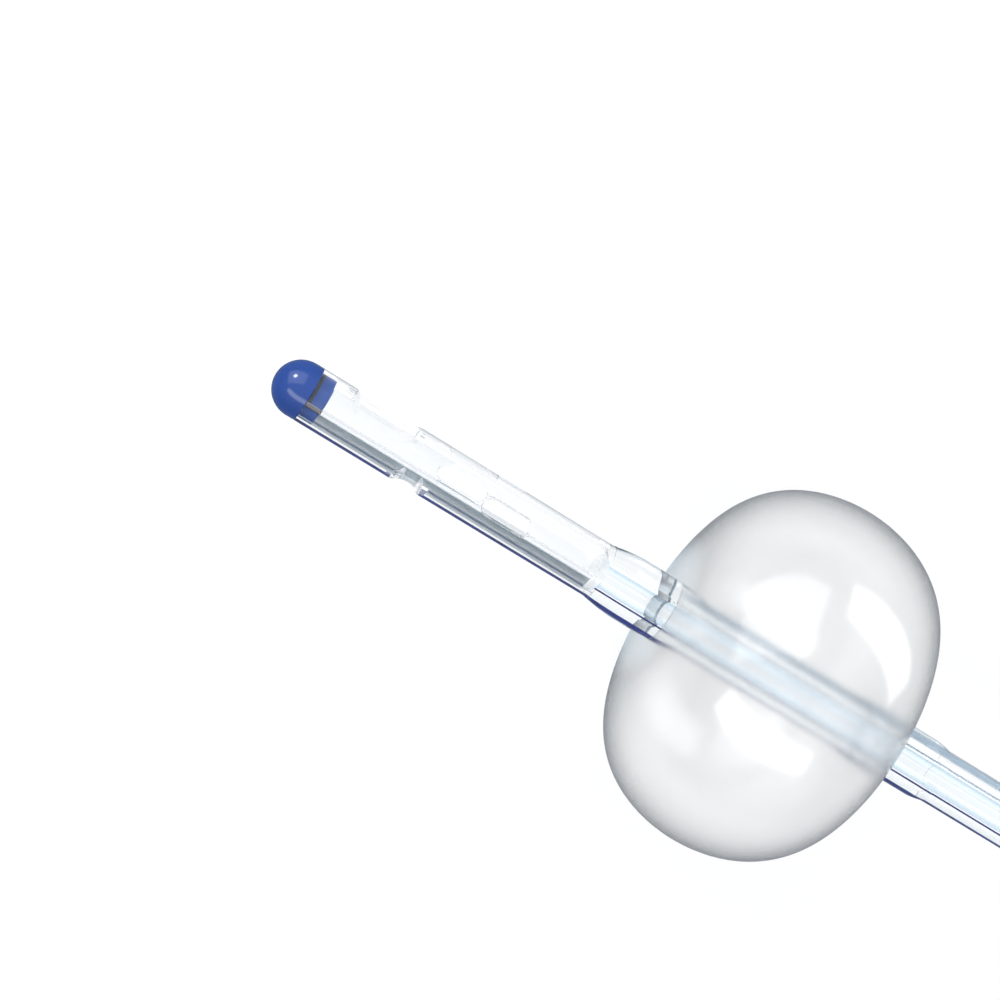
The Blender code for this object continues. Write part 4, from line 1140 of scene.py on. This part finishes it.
def lug_grid(side):
    """One of the two ears at the mouth: a rounded block that stands out of the hub's wall."""
    origin, way, down, level = valve_axis
    outline = eye_outline(0.0026, 0.0012, 0.0004, 0.0, 48)
    middle = HUB_RADIUS
    shrink = np.array((0.0, 0.88, 0.96, 1.0, 1.0, 0.96, 0.88, 0.0))[:, None]
    height = np.array((-0.55, -0.55, -0.5, -0.38, 0.38, 0.5, 0.55, 0.55))[:, None] * 0.001
    along, across = outline[:, 0] * shrink, outline[:, 1] * shrink
    station = VALVE_MOUTH - 0.00055 + height
    outwards = side * (middle + across)
    return origin + along[..., None] * down + outwards[..., None] * level + station[..., None] * way


body = surface("valve_body_shell", turned_on(valve_axis, rounded([
    (HUB_RADIUS, VALVE_MOUTH), (HUB_RADIUS, BARREL_END + BARREL_CHAMFER),
    (BARREL_RADIUS - BARREL_CHAMFER, BARREL_END), (BARREL_RADIUS, BARREL_END - BARREL_CHAMFER),
    (BARREL_RADIUS, FLANGE + GAP), (SKIRT_RADIUS + GAP, FLANGE + GAP),
    (SKIRT_RADIUS + GAP, SKIRT_END + GAP), (CHAMBER_RADIUS, SKIRT_END + GAP),
    (CHAMBER_RADIUS, SEAT), (SEAT_BORE, SEAT), (SEAT_BORE, LUER_FLOOR),
    (0.001919, LUER_FLOOR), (0.002135, VALVE_MOUTH),
], 0.0002, True)), wrap_rows=True)
cut(body, surface("lug_left", lug_grid(1.0)), surface("lug_right", lug_grid(-1.0)), operation="UNION")
body.data.materials.clear()
dress(body, valve_red, "valve_red", "catheter", "valve_body")

# %% Stem, ring and spring
POPPET_FRONT = SEAT - 0.0009 - 2.0 * GAP
POPPET_BACK = POPPET_FRONT - 0.0006
valve_piece("poppet_stem", [
    (0.0, VALVE_MOUTH - 0.0018), (STEM_RADIUS, VALVE_MOUTH - 0.0018),
    (STEM_RADIUS, POPPET_FRONT), (POPPET_RADIUS, POPPET_FRONT),
    (POPPET_RADIUS, POPPET_BACK), (0.0009, POPPET_BACK),
    (0.0009, POPPET_BACK - 0.0017), (0.0, POPPET_BACK - 0.0017),
], valve_white, "valve_white", "valve_poppet", "valve_stem", closed=False)
valve_piece("poppet_ring", [
    (POPPET_RADIUS, SEAT - GAP), (POPPET_RADIUS, POPPET_FRONT + GAP),
    (STEM_RADIUS + GAP, POPPET_FRONT + GAP), (STEM_RADIUS + GAP, SEAT - GAP),
], seal_rubber, "seal_rubber", "valve_poppet", "valve_seal", corner=0.00022)

WIRE = 0.00018
COIL_RADIUS = 0.002
COIL_TURNS = 4
spring_floor = FLANGE + GAP
spring_top = POPPET_BACK - GAP


def spring_grid(points=260, columns=16):
    """A round wire along a helix whose end turns close up, each end drawn in to a cap."""
    origin, way, down, level = valve_axis
    share = np.linspace(0.0, 1.0, points)
    angle = 2.0 * math.pi * COIL_TURNS * share
    height = spring_floor + WIRE + (spring_top - spring_floor - 2.0 * WIRE) * smooth_step(share)
    outwards = np.cos(angle)[:, None] * down + np.sin(angle)[:, None] * level
    centre = origin + height[:, None] * way + COIL_RADIUS * outwards
    along = np.gradient(centre, axis=0)
    along /= np.linalg.norm(along, axis=1)[:, None]
    up = np.cross(along, outwards)
    turn = np.linspace(0.0, 2.0 * math.pi, columns, endpoint=False)[None, :, None]
    ring = centre[:, None] + WIRE * (np.cos(turn) * outwards[:, None] + np.sin(turn) * up[:, None])
    return closed_ends(ring)


spring = surface("return_spring", spring_grid())
dress(spring, spring_steel, "spring_steel", "catheter", "valve_spring")
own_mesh(spring)
